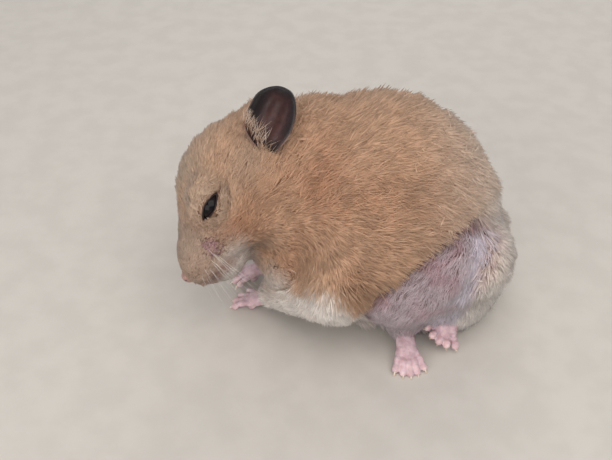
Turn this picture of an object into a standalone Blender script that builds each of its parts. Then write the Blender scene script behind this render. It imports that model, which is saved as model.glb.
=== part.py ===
"""A life-size Syrian hamster, hunched over its forepaws, as one solid for each part of the body.

The flesh and its coat start as ellipsoids and tapered limbs with named sizes. A voxel remesh fuses them, a smoothing
rounds the joins, and thin cuts part the whole again into head, neck, trunk and legs. Ears, eyes, nose, paws and tail
are shaped on their own and cut to the coat with a thin gap. The animal faces -X and leans onto its right side.
Sizes are in millimetres until they reach Blender, which works in metres.
"""

from math import cos, pi, radians, sin

import bmesh
import bpy
from mathutils import Matrix, Vector

MM = 0.001

# Stance
LEAN = radians(22)  # of the back, away from the left side
BODY_HEIGHT = 27.5  # of the middle of the body over the floor
HEAD_AT = (-29.5, 13.0, 2.5)  # middle of the skull, in the body's frame
HEAD_DROP = radians(58)  # of the snout, below the line of the body
HEAD_TURN = radians(20)  # of the snout, to the animal's left
HEAD_ROLL = radians(8)  # of the crown, to the animal's right

# How the solids are made
SHARP_ANGLE = radians(50)
GAP = 0.3  # between neighbouring solids
COAT_VOXEL = 1.3
COAT_ROUNDING = 9
COAT_TRIANGLES = 2600
PAW_VOXEL = 0.42
PAW_ROUNDING = 3
PAW_TRIANGLES = 320
TAIL_TRIANGLES = 120

# Masses of the body, in its frame: middle, and radii along, up and left
BODY_MASSES = {
    "barrel": ((8.5, 4.5, 0.0), (31.0, 31.0, 26.5)),
    "rump": ((25.0, -8.5, -4.5), (20.0, 24.0, 18.5)),
    "shoulders": ((-8.0, 10.0, 0.0), (20.0, 25.0, 22.0)),
    "chest": ((-8.0, -5.0, 0.0), (17.0, 15.5, 18.0)),
    "nape": ((-20.0, 15.0, 1.0), (15.0, 19.0, 17.0)),
    "resting_flank": ((6.0, -9.0, -7.0), (26.0, 18.0, 18.0)),
}

# Masses of the head, in its frame: middle, and radii forward, left and up
HEAD_MASSES = {
    "skull": ((0.0, 0.0, 0.0), (17.5, 16.5, 14.5)),
    "brow": ((6.0, 0.0, 2.0), (13.0, 11.0, 9.5)),
    "cheek_left": ((7.0, 8.5, -5.0), (12.0, 8.5, 10.0)),
    "cheek_right": ((7.0, -8.5, -5.0), (12.0, 8.5, 10.0)),
    "bridge": ((13.0, 0.0, -1.5), (13.0, 9.5, 8.0)),
    "muzzle": ((18.0, 0.0, -3.2), (11.0, 9.5, 7.6)),
    "whisker_pad_left": ((21.5, 4.5, -4.5), (7.5, 5.5, 5.5)),
    "whisker_pad_right": ((21.5, -4.5, -4.5), (7.5, 5.5, 5.5)),
    "chin": ((17.0, 0.0, -9.5), (8.0, 6.0, 4.5)),
}

# Furred stretches of the legs, over the floor: two joints, and the radius at each
LEG_STRETCHES = {
    "upper_arm_left": ((-2, -19, 27), (-3, -19, 19), 9.0, 8.0),
    "forearm_left": ((-3, -19, 19), (-20, -6, 8.5), 8.0, 4.6),
    "forearm_right": ((-4, 16, 10), (-20, 11, 6), 8.0, 4.6),
    "thigh_left": ((31.5, -12, 27), (13, -19, 19), 11.5, 8.5),
    "shin_left": ((13, -19, 19), (31, -10, 10), 8.0, 4.2),
    "thigh_right": ((31, 10, 14), (12, -5, 10), 12.0, 9.0),
    "shin_right": ((12, -5, 10), (15, -17, 6.5), 8.0, 4.4),
}

# The ball-hulls that part the head, in its frame, and the neck, in the body's
HEAD_CELL = (((2, 0, 2), 22.0), ((20, 0, -4), 17.0))
NECK_CELL = (((-20, 14, 0), 30.0),)

# Round each leg, the balls whose hull is the thin cut that parts it from the trunk and from the legs after it
LEG_CELLS = {
    "foreleg_left": (((-3, -21, 26), 9.0), ((-6, -20, 17), 9.0), ((-22, -5, 7), 7.0)),
    "foreleg_right": (((-3, 18, 11), 9.5), ((-22, 10.5, 5), 7.5)),
    "hindleg_left": (((33, -19, 30), 12.5), ((14, -23, 20), 10.5), ((32, -13, 9), 8.0)),
    "hindleg_right": (((29, 6, 6), 9.5), ((12, -10, 8), 9.5), ((17, -20, 5), 6.5)),
}

KNUCKLE_AT = 0.3  # of the way from the ball of a paw to its longest digit's tip
KNUCKLE_WIDTH = 1.5  # of the row of knuckles, in radii of the ball
SIDE_DIGIT_CURVE = 1.6  # how much shorter the digits get towards the sides
WRIST_TAPER = 0.9
KNUCKLE_SWELL = 1.1

# Paws: wrist or heel, ball of the paw, tip of the middle digit, the line its digits fan out along,
# radius at the ball, number of digits, their radius, and the width of the fan
PAWS = {
    "forepaw_left": ((-20, -6, 7), (-25.5, -2.5, 3.0), (-30.5, 0.5, 0.6), (0.5, 0.85, 0), 2.8, 4, 1.05, 7.5),
    "forepaw_right": ((-20, 11, 5), (-26.5, 9.8, 2.8), (-32, 9, 0.6), (0.1, 1, 0), 2.8, 4, 1.05, 7.5),
    "hindfoot_left": ((31, -11.5, 11), (26.6, -16, 5.5), (24.3, -20, 4.0), (-0.69, 0.49, 0.53), 3.0, 5, 1.3, 9.0),
    "hindfoot_right": ((15, -17, 6), (15.6, -23, 3.0), (16.2, -28.5, 0.7), (-0.97, -0.2, 0), 2.8, 5, 1.2, 7.5),
}

TAIL = ((42, 3, 13), (45.5, 9.5, 3), 2.6, 1.3)  # root and tip over the floor, and the radius at each

EYE_AT = (10.0, 12.2, 0.6)  # in the head's frame, for the left eye
EYE_RADIUS = 3.3
NOSE_AT = (28.6, 0.0, -2.6)
NOSE_RADII = (1.6, 2.2, 1.7)

# Ears, in the head's frame for the left one
EAR_ROOT = (-4.3, 17.0, -5.6)
EAR_UP = (-0.82, 0.45, 0.36)  # from the root to the tip
EAR_OUT = (0.25, 0.93, 0.26)  # out of the hollow
EAR_LENGTH = 19.5
EAR_WIDTH = 13.5
EAR_CUP = 3.4  # depth of the hollow
EAR_WALL = 0.9
EAR_RIM = 0.65  # of the wall, at the rim
EAR_ROOT_WIDTH = 0.72  # of the ear's width, at its root
EAR_FULL_WIDTH_AT = 0.55  # of its length
EAR_RINGS = 5
EAR_SPOKES = 20


def frame(origin, forward, left):
    """The place of a part: its origin, and its axes forward, left and up."""
    x = Vector(forward).normalized()
    z = x.cross(Vector(left)).normalized()
    y = z.cross(x)
    return Matrix.Translation(Vector(origin)) @ Matrix((x, y, z)).transposed().to_4x4()


# The body's frame has +X to the rump, +Y to the back and +Z to the left side.
BODY = Matrix.Translation((0, 0, BODY_HEIGHT)) @ Matrix.Rotation(pi / 2 - LEAN, 4, "X")
HEAD = (
    BODY
    @ frame(HEAD_AT, (-cos(HEAD_DROP), -sin(HEAD_DROP), 0), (0, 0, 1))
    @ Matrix.Rotation(HEAD_TURN, 4, "Z")
    @ Matrix.Rotation(HEAD_ROLL, 4, "X")
)
FLOOR = Matrix.Identity(4)


# Shapes


def clear_scene():
    for thing in list(bpy.data.objects):
        bpy.data.objects.remove(thing)


def add_ellipsoid(bm, place, middle, radii, detail=4):
    """An ellipsoid whose radii lie along the axes of its place."""
    at = Matrix.Translation((place @ Vector(middle)) * MM)
    size = Matrix.Diagonal((*[radius * MM for radius in radii], 1))
    bmesh.ops.create_icosphere(bm, subdivisions=detail, radius=1, matrix=at @ place.to_3x3().to_4x4() @ size)


def add_limb(bm, start, end, start_radius, end_radius, beads=9):
    """A tapered limb between two joints, as a row of overlapping balls."""
    for i in range(beads):
        share = i / (beads - 1)
        radius = start_radius + (end_radius - start_radius) * share
        middle = Vector(start).lerp(Vector(end), share)
        add_ellipsoid(bm, FLOOR, middle, (radius, radius, radius), detail=3)


def new_object(name, bm, helper=False):
    mesh = bpy.data.meshes.new(name)
    bm.to_mesh(mesh)
    bm.free()
    obj = bpy.data.objects.new(name, mesh)
    bpy.context.scene.collection.objects.link(obj)
    if helper:
        obj.hide_render = True
        obj.display_type = "WIRE"
    return obj


def evaluated_mesh(obj):
    graph = bpy.context.evaluated_depsgraph_get()
    return bpy.data.meshes.new_from_object(obj.evaluated_get(graph), depsgraph=graph)


def fuse(obj, voxel, rounding, triangles):
    """Makes one closed, rounded skin of an object's overlapping shapes, with about that many triangles."""
    remesh = obj.modifiers.new("fuse", "REMESH")
    remesh.mode = "VOXEL"
    remesh.voxel_size = voxel * MM
    smooth = obj.modifiers.new("round", "SMOOTH")
    smooth.iterations = rounding
    obj.data = evaluated_mesh(obj)
    obj.modifiers.clear()
    thin = obj.modifiers.new("thin", "DECIMATE")
    thin.ratio = triangles / (2 * len(obj.data.polygons))
    obj.modifiers.new("triangles", "TRIANGULATE")
    obj.data = evaluated_mesh(obj)
    obj.modifiers.clear()


def boolean(obj, operation, other):
    cut = obj.modifiers.new(f"{operation.lower()}_{other.name}", "BOOLEAN")
    cut.operation = operation
    cut.solver = "EXACT"
    cut.object = other


# Cutters


def box_cutter(name, place, low, high, grow=0.0):
    """A box between two corners in a place, grown by a gap on every side."""
    bm = bmesh.new()
    bmesh.ops.create_cube(bm, size=1)
    low = Vector(low) - Vector((grow, grow, grow))
    high = Vector(high) + Vector((grow, grow, grow))
    size = Matrix.Diagonal((*((high - low) * MM), 1))
    middle = Matrix.Translation((place @ ((low + high) / 2)) * MM)
    bm.transform(middle @ place.to_3x3().to_4x4() @ size)
    return new_object(name, bm, helper=True)


def hull_cutter(name, place, balls, grow=0.0):
    """The hull of some balls in a place, grown by a gap."""
    rounds = bmesh.new()
    for middle, radius in balls:
        add_ellipsoid(rounds, place, middle, (radius + grow,) * 3, detail=2)
    bm = bmesh.new()
    for vert in rounds.verts:
        bm.verts.new(vert.co)
    rounds.free()
    hull = bmesh.ops.convex_hull(bm, input=bm.verts)
    inside = [part for part in hull["geom_interior"] if isinstance(part, bmesh.types.BMVert)]
    bmesh.ops.delete(bm, geom=inside, context="VERTS")
    bmesh.ops.recalc_face_normals(bm, faces=bm.faces)
    return new_object(name, bm, helper=True)


def grown_copy(name, obj):
    """The same skin, one gap further out, to cut its neighbours with."""
    grown = bpy.data.objects.new(name, obj.data.copy())
    bpy.context.scene.collection.objects.link(grown)
    grown.hide_render = True
    grown.display_type = "WIRE"
    swell = grown.modifiers.new("grow", "DISPLACE")
    swell.strength = GAP * MM
    swell.mid_level = 0
    grown.data = evaluated_mesh(grown)
    grown.modifiers.clear()
    return grown


# Materials


def material(name, colour, roughness):
    made = bpy.data.materials.new(name)
    made.use_nodes = True
    shader = made.node_tree.nodes["Principled BSDF"]
    shader.inputs["Base Color"].default_value = (*colour, 1)
    shader.inputs["Roughness"].default_value = roughness
    shader.inputs["Metallic"].default_value = 0
    return made


# Parts


def whole_coat():
    """Body, head and legs to the tips of the coat, in one piece, flat where it rests."""
    bm = bmesh.new()
    for middle, radii in BODY_MASSES.values():
        add_ellipsoid(bm, BODY, middle, radii)
    for middle, radii in HEAD_MASSES.values():
        add_ellipsoid(bm, HEAD, middle, radii)
    for start, end, start_radius, end_radius in LEG_STRETCHES.values():
        add_limb(bm, start, end, start_radius, end_radius)
    coat = new_object("whole_coat", bm, helper=True)
    fuse(coat, COAT_VOXEL, COAT_ROUNDING, COAT_TRIANGLES)
    return coat


def part_of(coat, name, finish):
    """A node that starts as the whole coat and is then cut down to its own part."""
    obj = bpy.data.objects.new(name, coat.data.copy())
    bpy.context.scene.collection.objects.link(obj)
    finish_as(obj, finish)
    return obj


def finish_as(obj, finish):
    obj.data.materials.clear()
    obj.data.materials.append(finish)
    obj.data.shade_smooth()
    obj.data.set_sharp_from_angle(angle=SHARP_ANGLE)


def make_flesh(coat, floor, sockets, fur):
    """Head, legs, neck and trunk, parted from the whole coat: each leaves room for the ones before it."""
    cells = {"head": (HEAD, HEAD_CELL)}
    cells.update({name: (FLOOR, balls) for name, balls in LEG_CELLS.items()})
    cells["neck"] = (BODY, NECK_CELL)
    rooms = []
    for name, (place, balls) in cells.items():
        flesh = part_of(coat, name, fur)
        boolean(flesh, "INTERSECT", hull_cutter(f"cut_{name}", place, balls))
        for room in rooms:
            boolean(flesh, "DIFFERENCE", room)
        boolean(flesh, "DIFFERENCE", floor)
        rooms.append(hull_cutter(f"room_{name}", place, balls, GAP))
    trunk = part_of(coat, "trunk", fur)
    for room in rooms:
        boolean(trunk, "DIFFERENCE", room)
    boolean(trunk, "DIFFERENCE", floor)
    for socket in sockets:
        boolean(bpy.data.objects["head"], "DIFFERENCE", socket)


def make_paw(name, spec, grown_coat, floor, skin):
    """A paw: its back from wrist to ball, and digits that fan out, shorter towards the sides."""
    wrist, ball, tip, across, radius, count, thickness, width = spec
    bm = bmesh.new()
    add_limb(bm, wrist, ball, radius * WRIST_TAPER, radius)
    ball, tip, across = Vector(ball), Vector(tip), Vector(across).normalized()
    for i in range(count):
        aside = i / (count - 1) - 0.5
        knuckle = ball.lerp(tip, KNUCKLE_AT) + across * aside * radius * KNUCKLE_WIDTH
        end = tip.lerp(ball, SIDE_DIGIT_CURVE * aside * aside) + across * aside * width
        add_limb(bm, knuckle, end, thickness * KNUCKLE_SWELL, thickness)
    paw = new_object(name, bm)
    fuse(paw, PAW_VOXEL, PAW_ROUNDING, PAW_TRIANGLES)
    finish_as(paw, skin)
    boolean(paw, "DIFFERENCE", grown_coat)
    boolean(paw, "DIFFERENCE", floor)


def make_tail(grown_coat, floor, fur):
    bm = bmesh.new()
    add_limb(bm, *TAIL)
    tail = new_object("tail", bm)
    fuse(tail, PAW_VOXEL, PAW_ROUNDING, TAIL_TRIANGLES)
    finish_as(tail, fur)
    boolean(tail, "DIFFERENCE", grown_coat)
    boolean(tail, "DIFFERENCE", floor)


def make_eye(side, name, cornea, grow=0.0, helper=False):
    bm = bmesh.new()
    x, y, z = EYE_AT
    radius = EYE_RADIUS + grow
    add_ellipsoid(bm, HEAD, (x, side * y, z), (radius, radius, radius), detail=3)
    eye = new_object(name, bm, helper)
    finish_as(eye, cornea)
    return eye


def make_nose(grown_coat, skin):
    bm = bmesh.new()
    add_ellipsoid(bm, HEAD, NOSE_AT, NOSE_RADII, detail=3)
    nose = new_object("nose", bm)
    finish_as(nose, skin)
    boolean(nose, "DIFFERENCE", grown_coat)


def make_ear(side, name, grown_coat, skin):
    """A cupped ear: a dish of rings whose outline narrows to the root, with a wall that thins to its rim."""
    bm = bmesh.new()
    shells = [ear_shell(bm, 0.0), ear_shell(bm, EAR_WALL)]
    for centre, grid in shells:
        for j in range(EAR_SPOKES):
            k = (j + 1) % EAR_SPOKES
            bm.faces.new((centre, grid[0][j], grid[0][k]))
            for inner, outer in zip(grid, grid[1:]):
                bm.faces.new((inner[j], outer[j], outer[k], inner[k]))
    front, back = (grid[-1] for centre, grid in shells)
    for j in range(EAR_SPOKES):
        k = (j + 1) % EAR_SPOKES
        bm.faces.new((front[j], back[j], back[k], front[k]))
    bm.transform(Matrix.Scale(MM, 4))
    bm.transform(ear_place(side))
    bmesh.ops.recalc_face_normals(bm, faces=bm.faces)
    ear = new_object(name, bm)
    finish_as(ear, skin)
    boolean(ear, "DIFFERENCE", grown_coat)


def ear_shell(bm, depth):
    """One side of an ear's wall: its deepest point, and rings from there to the rim."""
    rings = []
    for i in range(1, EAR_RINGS + 1):
        out = i / EAR_RINGS
        ring = []
        for j in range(EAR_SPOKES):
            angle = 2 * pi * j / EAR_SPOKES
            up = EAR_LENGTH / 2 * (1 + out * sin(angle))
            full = min(1, up / (EAR_FULL_WIDTH_AT * EAR_LENGTH))
            width = EAR_WIDTH * (EAR_ROOT_WIDTH + (1 - EAR_ROOT_WIDTH) * full)
            back = EAR_CUP * (1 - out * out) + depth * (1 - (1 - EAR_RIM) * out)
            ring.append(bm.verts.new((width / 2 * out * cos(angle), up, -back)))
        rings.append(ring)
    deepest = bm.verts.new((0, EAR_LENGTH / 2, -EAR_CUP - depth))
    return deepest, rings


def ear_place(side):
    """From the ear's own frame (across, up its length, out of the hollow) to the world, in metres."""
    mirror = Matrix.Diagonal((1, side, 1))
    up = (mirror @ Vector(EAR_UP)).normalized()
    across = up.cross(mirror @ Vector(EAR_OUT)).normalized()
    own = Matrix((across, up, across.cross(up))).transposed().to_4x4()
    root = Matrix.Translation((HEAD @ (mirror @ Vector(EAR_ROOT))) * MM)
    return root @ HEAD.to_3x3().to_4x4() @ own


def main():
    clear_scene()
    fur = material("golden_coat", (0.62, 0.36, 0.17), 0.8)
    skin = material("bare_pink_skin", (0.75, 0.42, 0.40), 0.5)
    ear_skin = material("dark_ear_skin", (0.12, 0.08, 0.08), 0.5)
    cornea = material("black_eye", (0.01, 0.01, 0.012), 0.05)

    floor = box_cutter("floor", FLOOR, (-200, -200, -200), (200, 200, 0))
    coat = whole_coat()
    grown_coat = grown_copy("grown_coat", coat)
    sockets = []
    for side, word in ((1, "left"), (-1, "right")):
        make_eye(side, f"eye_{word}", cornea)
        sockets.append(make_eye(side, f"room_eye_{word}", cornea, GAP, helper=True))
        make_ear(side, f"ear_{word}", grown_coat, ear_skin)
    make_flesh(coat, floor, sockets, fur)
    make_nose(grown_coat, skin)
    for name, spec in PAWS.items():
        make_paw(name, spec, grown_coat, floor, skin)
    make_tail(grown_coat, floor, fur)


if __name__ == "__main__":
    main()
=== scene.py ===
"""The looks of a life-size Syrian hamster, curled over its forepaws.

Lengths inside the shape functions are millimetres in the head's or the body's own axes, and metres in
every mesh.
"""

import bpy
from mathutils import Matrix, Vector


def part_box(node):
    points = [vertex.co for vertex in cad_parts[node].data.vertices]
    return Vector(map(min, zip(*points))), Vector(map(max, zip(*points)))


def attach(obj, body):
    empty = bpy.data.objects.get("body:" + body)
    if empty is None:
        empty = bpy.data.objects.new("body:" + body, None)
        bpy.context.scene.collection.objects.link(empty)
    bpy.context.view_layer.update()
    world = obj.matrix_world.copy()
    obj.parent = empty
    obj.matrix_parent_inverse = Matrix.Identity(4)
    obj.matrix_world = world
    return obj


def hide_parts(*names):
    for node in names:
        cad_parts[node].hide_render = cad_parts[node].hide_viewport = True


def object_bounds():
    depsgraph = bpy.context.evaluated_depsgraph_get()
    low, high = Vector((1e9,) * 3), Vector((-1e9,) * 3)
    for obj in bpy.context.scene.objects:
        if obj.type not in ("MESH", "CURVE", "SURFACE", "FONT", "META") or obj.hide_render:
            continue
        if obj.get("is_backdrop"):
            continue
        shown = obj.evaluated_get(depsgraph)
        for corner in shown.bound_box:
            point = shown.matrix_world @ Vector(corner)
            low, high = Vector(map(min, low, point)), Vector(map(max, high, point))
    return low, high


bl_info = {
    "name": "Syrian hamster",
    "version": (1, 0, 0),
    "blender": (4, 5, 0),
    "location": "View3D > Sidebar > Hamster",
    "description": "Builds the skin, coat, ears, eyes, paws and whiskers of a still Syrian hamster",
    "category": "Object",
}

from math import atan2, cos, pi, radians, sin, sqrt

import bmesh
import bpy
import numpy as np
from bpy.props import FloatProperty, FloatVectorProperty, PointerProperty
from mathutils import Matrix, Vector

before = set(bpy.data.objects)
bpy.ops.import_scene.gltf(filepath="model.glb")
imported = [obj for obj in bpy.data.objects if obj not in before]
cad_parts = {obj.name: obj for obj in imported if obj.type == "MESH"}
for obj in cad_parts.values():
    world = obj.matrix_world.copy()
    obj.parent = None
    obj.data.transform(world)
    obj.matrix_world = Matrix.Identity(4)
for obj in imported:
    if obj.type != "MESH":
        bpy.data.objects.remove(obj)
CAD_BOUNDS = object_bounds()

MM = 0.001
SAME_POINT = 0.001 * MM
FLESH = ("head", "neck", "trunk", "foreleg_left", "foreleg_right", "hindleg_left", "hindleg_right", "tail")
SIDES = (("left", 1), ("right", -1))

# The body's own axes: along it to the rump, up to the back, and to its left
LEAN = radians(22)
BODY_AXES = np.array(((1, 0, 0), (0, sin(LEAN), cos(LEAN)), (0, -cos(LEAN), sin(LEAN))))
BODY_ORIGIN = np.array((0, 0, 27.5)) * MM

# The head's own axes: forward, to its left and up. They come from the eyes and the nose.
EYE_AT = np.array((10.0, 12.2, 0.6))
NOSE_AT = np.array((28.6, 0.0, -2.6))


# Small tools


def unit(vectors):
    """The same directions, of length 1."""
    return vectors / np.maximum(np.linalg.norm(vectors, axis=-1, keepdims=True), 1e-12)


def middle_of(node):
    low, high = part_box(node)
    return np.array((low + high) / 2)


def head_axes():
    """The head's axes, level with its eyes, and the middle of its skull."""
    left_eye, right_eye = middle_of("eye_left"), middle_of("eye_right")
    to_left = unit(left_eye - right_eye)
    to_nose = middle_of("nose") - (left_eye + right_eye) / 2
    to_nose = unit(to_nose - to_left * (to_nose @ to_left))
    above = np.cross(to_nose, to_left)
    drop = atan2(EYE_AT[2] - NOSE_AT[2], NOSE_AT[0] - EYE_AT[0])
    forward = to_nose * cos(drop) + above * sin(drop)
    up = np.cross(forward, to_left)
    origin = (left_eye + right_eye) / 2 - (forward * EYE_AT[0] + up * EYE_AT[2]) * MM
    return np.array((forward, to_left, up)), origin


HEAD_AXES, HEAD_ORIGIN = head_axes()


def in_head(points):
    return (points - HEAD_ORIGIN) @ HEAD_AXES.T / MM


def in_left_head(points):
    """Points in the head's axes, with those of its right half mirrored onto its left."""
    own = in_head(points)
    own[:, 1] = np.abs(own[:, 1])
    return own


def in_body(points):
    return (points - BODY_ORIGIN) @ BODY_AXES.T / MM


def from_head(points):
    return np.asarray(points, float) * MM @ HEAD_AXES + HEAD_ORIGIN


def from_body(points):
    return np.asarray(points, float) * MM @ BODY_AXES + BODY_ORIGIN


def ramp(start, end, value):
    """A smooth step: 0 before start, 1 after end, 3t^2 - 2t^3 between. Start may be the larger."""
    share = np.clip((value - start) / (end - start), 0, 1)
    return share * share * (3 - 2 * share)


def mix(first, second, share):
    return first + (second - first) * share


def bell(a, b=0):
    """A smooth bump: 1 where a and b are 0, and e^(-a^2 - b^2) round there."""
    return np.exp(-(a**2) - b**2)


def turns(count):
    """Evenly spread angles, once round."""
    return np.arange(count) * 2 * pi / count


def ripple(points, wavelength, seed, waves=7):
    """Smooth noise of about -1 to 1: a sum of sine waves of nearly one length in random directions."""
    draw = np.random.default_rng(seed)
    total = np.zeros(len(points))
    for direction in unit(draw.normal(size=(waves, 3))):
        stretch = draw.uniform(0.75, 1.35)
        total += np.sin(points @ direction * (2 * pi * stretch / wavelength) + draw.uniform(0, 2 * pi))
    return total / sqrt(waves / 2)


def distance_to_line(points, start, end):
    """How far points lie from a stretch of line, and how far along it their nearest points are, 0 to 1."""
    start, along = np.asarray(start, float), np.subtract(end, start)
    share = np.clip((points - start) @ along / (along @ along), 0, 1)
    return np.linalg.norm(points - start - share[:, None] * along, axis=1), share


def linear(hex_colour):
    """An sRGB hex colour as the linear numbers that shaders take."""
    channels = [int(hex_colour[i : i + 2], 16) / 255 for i in (1, 3, 5)]
    return tuple(c / 12.92 if c <= 0.04045 else ((c + 0.055) / 1.055) ** 2.4 for c in channels)


# Meshes


def rows_of(items, key, width, kind=np.int32):
    """One property of a mesh's points, triangles or edges, with a row for each of them."""
    values = np.empty(len(items) * width, kind)
    items.foreach_get(key, values)
    return values.reshape(-1, width)


def points_of(mesh):
    return rows_of(mesh.vertices, "co", 3, np.float32).astype(float)


def triangles_of(mesh):
    mesh.calc_loop_triangles()
    return rows_of(mesh.loop_triangles, "vertices", 3)


def edges_of(mesh):
    return rows_of(mesh.edges, "vertices", 2)


def numbers_of(mesh, name):
    """A number stored at the points of a mesh."""
    return rows_of(mesh.attributes[name].data, "value", 1, np.float32)[:, 0].astype(float)


def put_object(name, data):
    """A new object in the scene, for a mesh, a light or a camera."""
    obj = bpy.data.objects.new(name, data)
    bpy.context.scene.collection.objects.link(obj)
    return obj


def put_moved(name, mesh, points):
    """A smooth object from a mesh whose points have moved."""
    mesh.vertices.foreach_set("co", points.astype(np.float32).ravel())
    mesh.polygons.foreach_set("use_smooth", np.ones(len(mesh.polygons), bool))
    mesh.update()
    return put_object(name, mesh)


def put_mesh(name, points, faces):
    """A smooth object from whole arrays: points, and faces as a rectangle of point numbers."""
    mesh = bpy.data.meshes.new(name)
    count, corners = faces.shape
    mesh.vertices.add(len(points))
    mesh.vertices.foreach_set("co", np.asarray(points, np.float32).ravel())
    mesh.loops.add(count * corners)
    mesh.loops.foreach_set("vertex_index", faces.astype(np.int32).ravel())
    mesh.polygons.add(count)
    mesh.polygons.foreach_set("loop_start", np.arange(0, count * corners, corners, dtype=np.int32))
    mesh.polygons.foreach_set("use_smooth", np.ones(count, bool))
    mesh.update(calc_edges=True)
    return put_object(name, mesh)


def set_numbers(obj, **numbers):
    """Stores one number for each point, under a name that the materials read."""
    for name, values in numbers.items():
        attribute = obj.data.attributes.new(name, "FLOAT", "POINT")
        attribute.data.foreach_set("value", np.asarray(values, np.float32))


def normals_of(points, triangles):
    """Each point's normal: the sum of its triangles' cross products."""
    a, b, c = (points[triangles[:, i]] for i in range(3))
    across = np.cross(b - a, c - a)
    total = np.zeros_like(points)
    for axis in range(3):
        for corner in range(3):
            total[:, axis] += np.bincount(triangles[:, corner], across[:, axis], len(points))
    return unit(total)


def eased(values, edges, share=0.5, rounds=1):
    """Moves each point's values towards the mean of its neighbours'."""
    neighbours = np.bincount(edges.ravel(), minlength=len(values))
    for _ in range(rounds):
        mean = np.empty_like(values)
        for axis in range(values.shape[1]):
            total = np.bincount(edges[:, 0], values[edges[:, 1], axis], len(values))
            total += np.bincount(edges[:, 1], values[edges[:, 0], axis], len(values))
            mean[:, axis] = total / np.maximum(neighbours, 1)
        values = mix(values, mean, share)
    return values


def sheet_faces(rows, columns, closed_columns=True):
    """Quads between the points of a grid, numbered row by row; the last column may join the first."""
    columns_used = columns if closed_columns else columns - 1
    row, column = np.meshgrid(np.arange(rows - 1) * columns, np.arange(columns_used), indexing="ij")
    after = (column + 1) % columns
    above = row + columns
    return np.stack((row + column, row + after, above + after, above + column), -1).reshape(-1, 4)


def face_outwards(obj):
    """Closes seams and poles, and turns every face outwards."""
    bm = bmesh.new()
    bm.from_mesh(obj.data)
    bmesh.ops.remove_doubles(bm, verts=bm.verts, dist=SAME_POINT)
    bmesh.ops.recalc_face_normals(bm, faces=bm.faces)
    bm.to_mesh(obj.data)
    bm.free()


def tube(path, radii, sides, flat=1.0, across=None):
    """A round profile carried along a path, closed at both ends by points.

    Each ring is centre + radius * (cos a * side + flat * sin a * rise), with the side square to the path.
    """
    path, radii = np.asarray(path, float), np.asarray(radii, float)
    along = unit(np.gradient(path, axis=0))
    if across is None:
        side = unit(np.cross(along, (0.0, 0.0, 1.0)))
    else:
        side = unit(across - along * (along @ across)[:, None])
    rise = np.cross(side, along)
    turn = turns(sides)[:, None]
    ring = np.cos(turn) * side[:, None] + flat * np.sin(turn) * rise[:, None]
    points = (path[:, None] + radii[:, None, None] * ring).reshape(-1, 3)
    return points, sheet_faces(len(path), sides)


def finished(obj, material, replaces=()):
    """Gives a piece its material, hangs it under the root, and hides the CAD nodes that it stands for."""
    obj.data.materials.clear()
    obj.data.materials.append(material)
    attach(obj, "root")
    if replaces:
        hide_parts(*replaces)


# Markings, the same for skin and coat

# A line through the skull, and the bare pad of the whiskers, in mm on the head's axes
SKULL_LINE = ((-2, 0, 1), (20, 0, -4))
PAD_AT = np.array((19.2, 10.0, -4.8))
PAD_SIZE = np.array((3.0, 3.2, 4.0))

# Each marking, the colour that it gives the hair and the most that it gives of it, from the lowest layer up
MARK_COLOURS = (
    # Painted light: the haunch is made paler towards the rump, as if lit from behind
    ("lit_haunch", "lit_haunch", 1.0),
    ("rim", "rump", 1.0),
    ("cheek", "cheek", 0.9),
    ("grey", "forehead", 0.75),
    ("muzzle", "muzzle", 0.8),
    ("thin", "thigh", 1.0),
    ("ridge", "ridge", 0.9),
    ("fold", "fold", 0.95),
    ("pale", "cream", 0.95),
    ("lips", "lips", 0.8),
)
HAIR_MARKS = tuple(mark for mark, _, _ in MARK_COLOURS)
SKIN_MARKS = (*HAIR_MARKS, "pad")

# Where the legs and the tail run, in mm on the world's axes, and how far from that line they reach
TAIL_TIP = (45.5, 9.5, 3)
LEG_LINES = (
    ((-3, -19, 19), (-22, -5, 6), 8.5),
    ((-4, 16, 10), (-22, 11, 5), 7.5),
    ((31, -10, 10), (24, -20, 4), 6.5),
    ((12, -5, 10), (16, -22, 3), 6.5),
    ((41, 1, 15), TAIL_TIP, 3.2),
)

# Where the coat thins out: its least depth, how fast it deepens with distance, and from where, in mm
THIN_AT_EYES = (0.5, 0.42, 3.2)
THIN_AT_NOSE = (0.15, 0.3, 1.8)
THIN_AT_PAWS = (0.5, 0.22, 3.5)
THIN_AT_TAIL = (0.25, 0.4, 4.5)
THIN_ON_LEGS = (1.7, 0.5)
RIM_DEPTH = 3.0
FAR = 99.0


def fold_height(u):
    """Height in the body's axes of the flank's fold, which hangs over the thigh: a shallow parabola."""
    return -18 + 1.26 * u - 0.0115 * u * u


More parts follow.
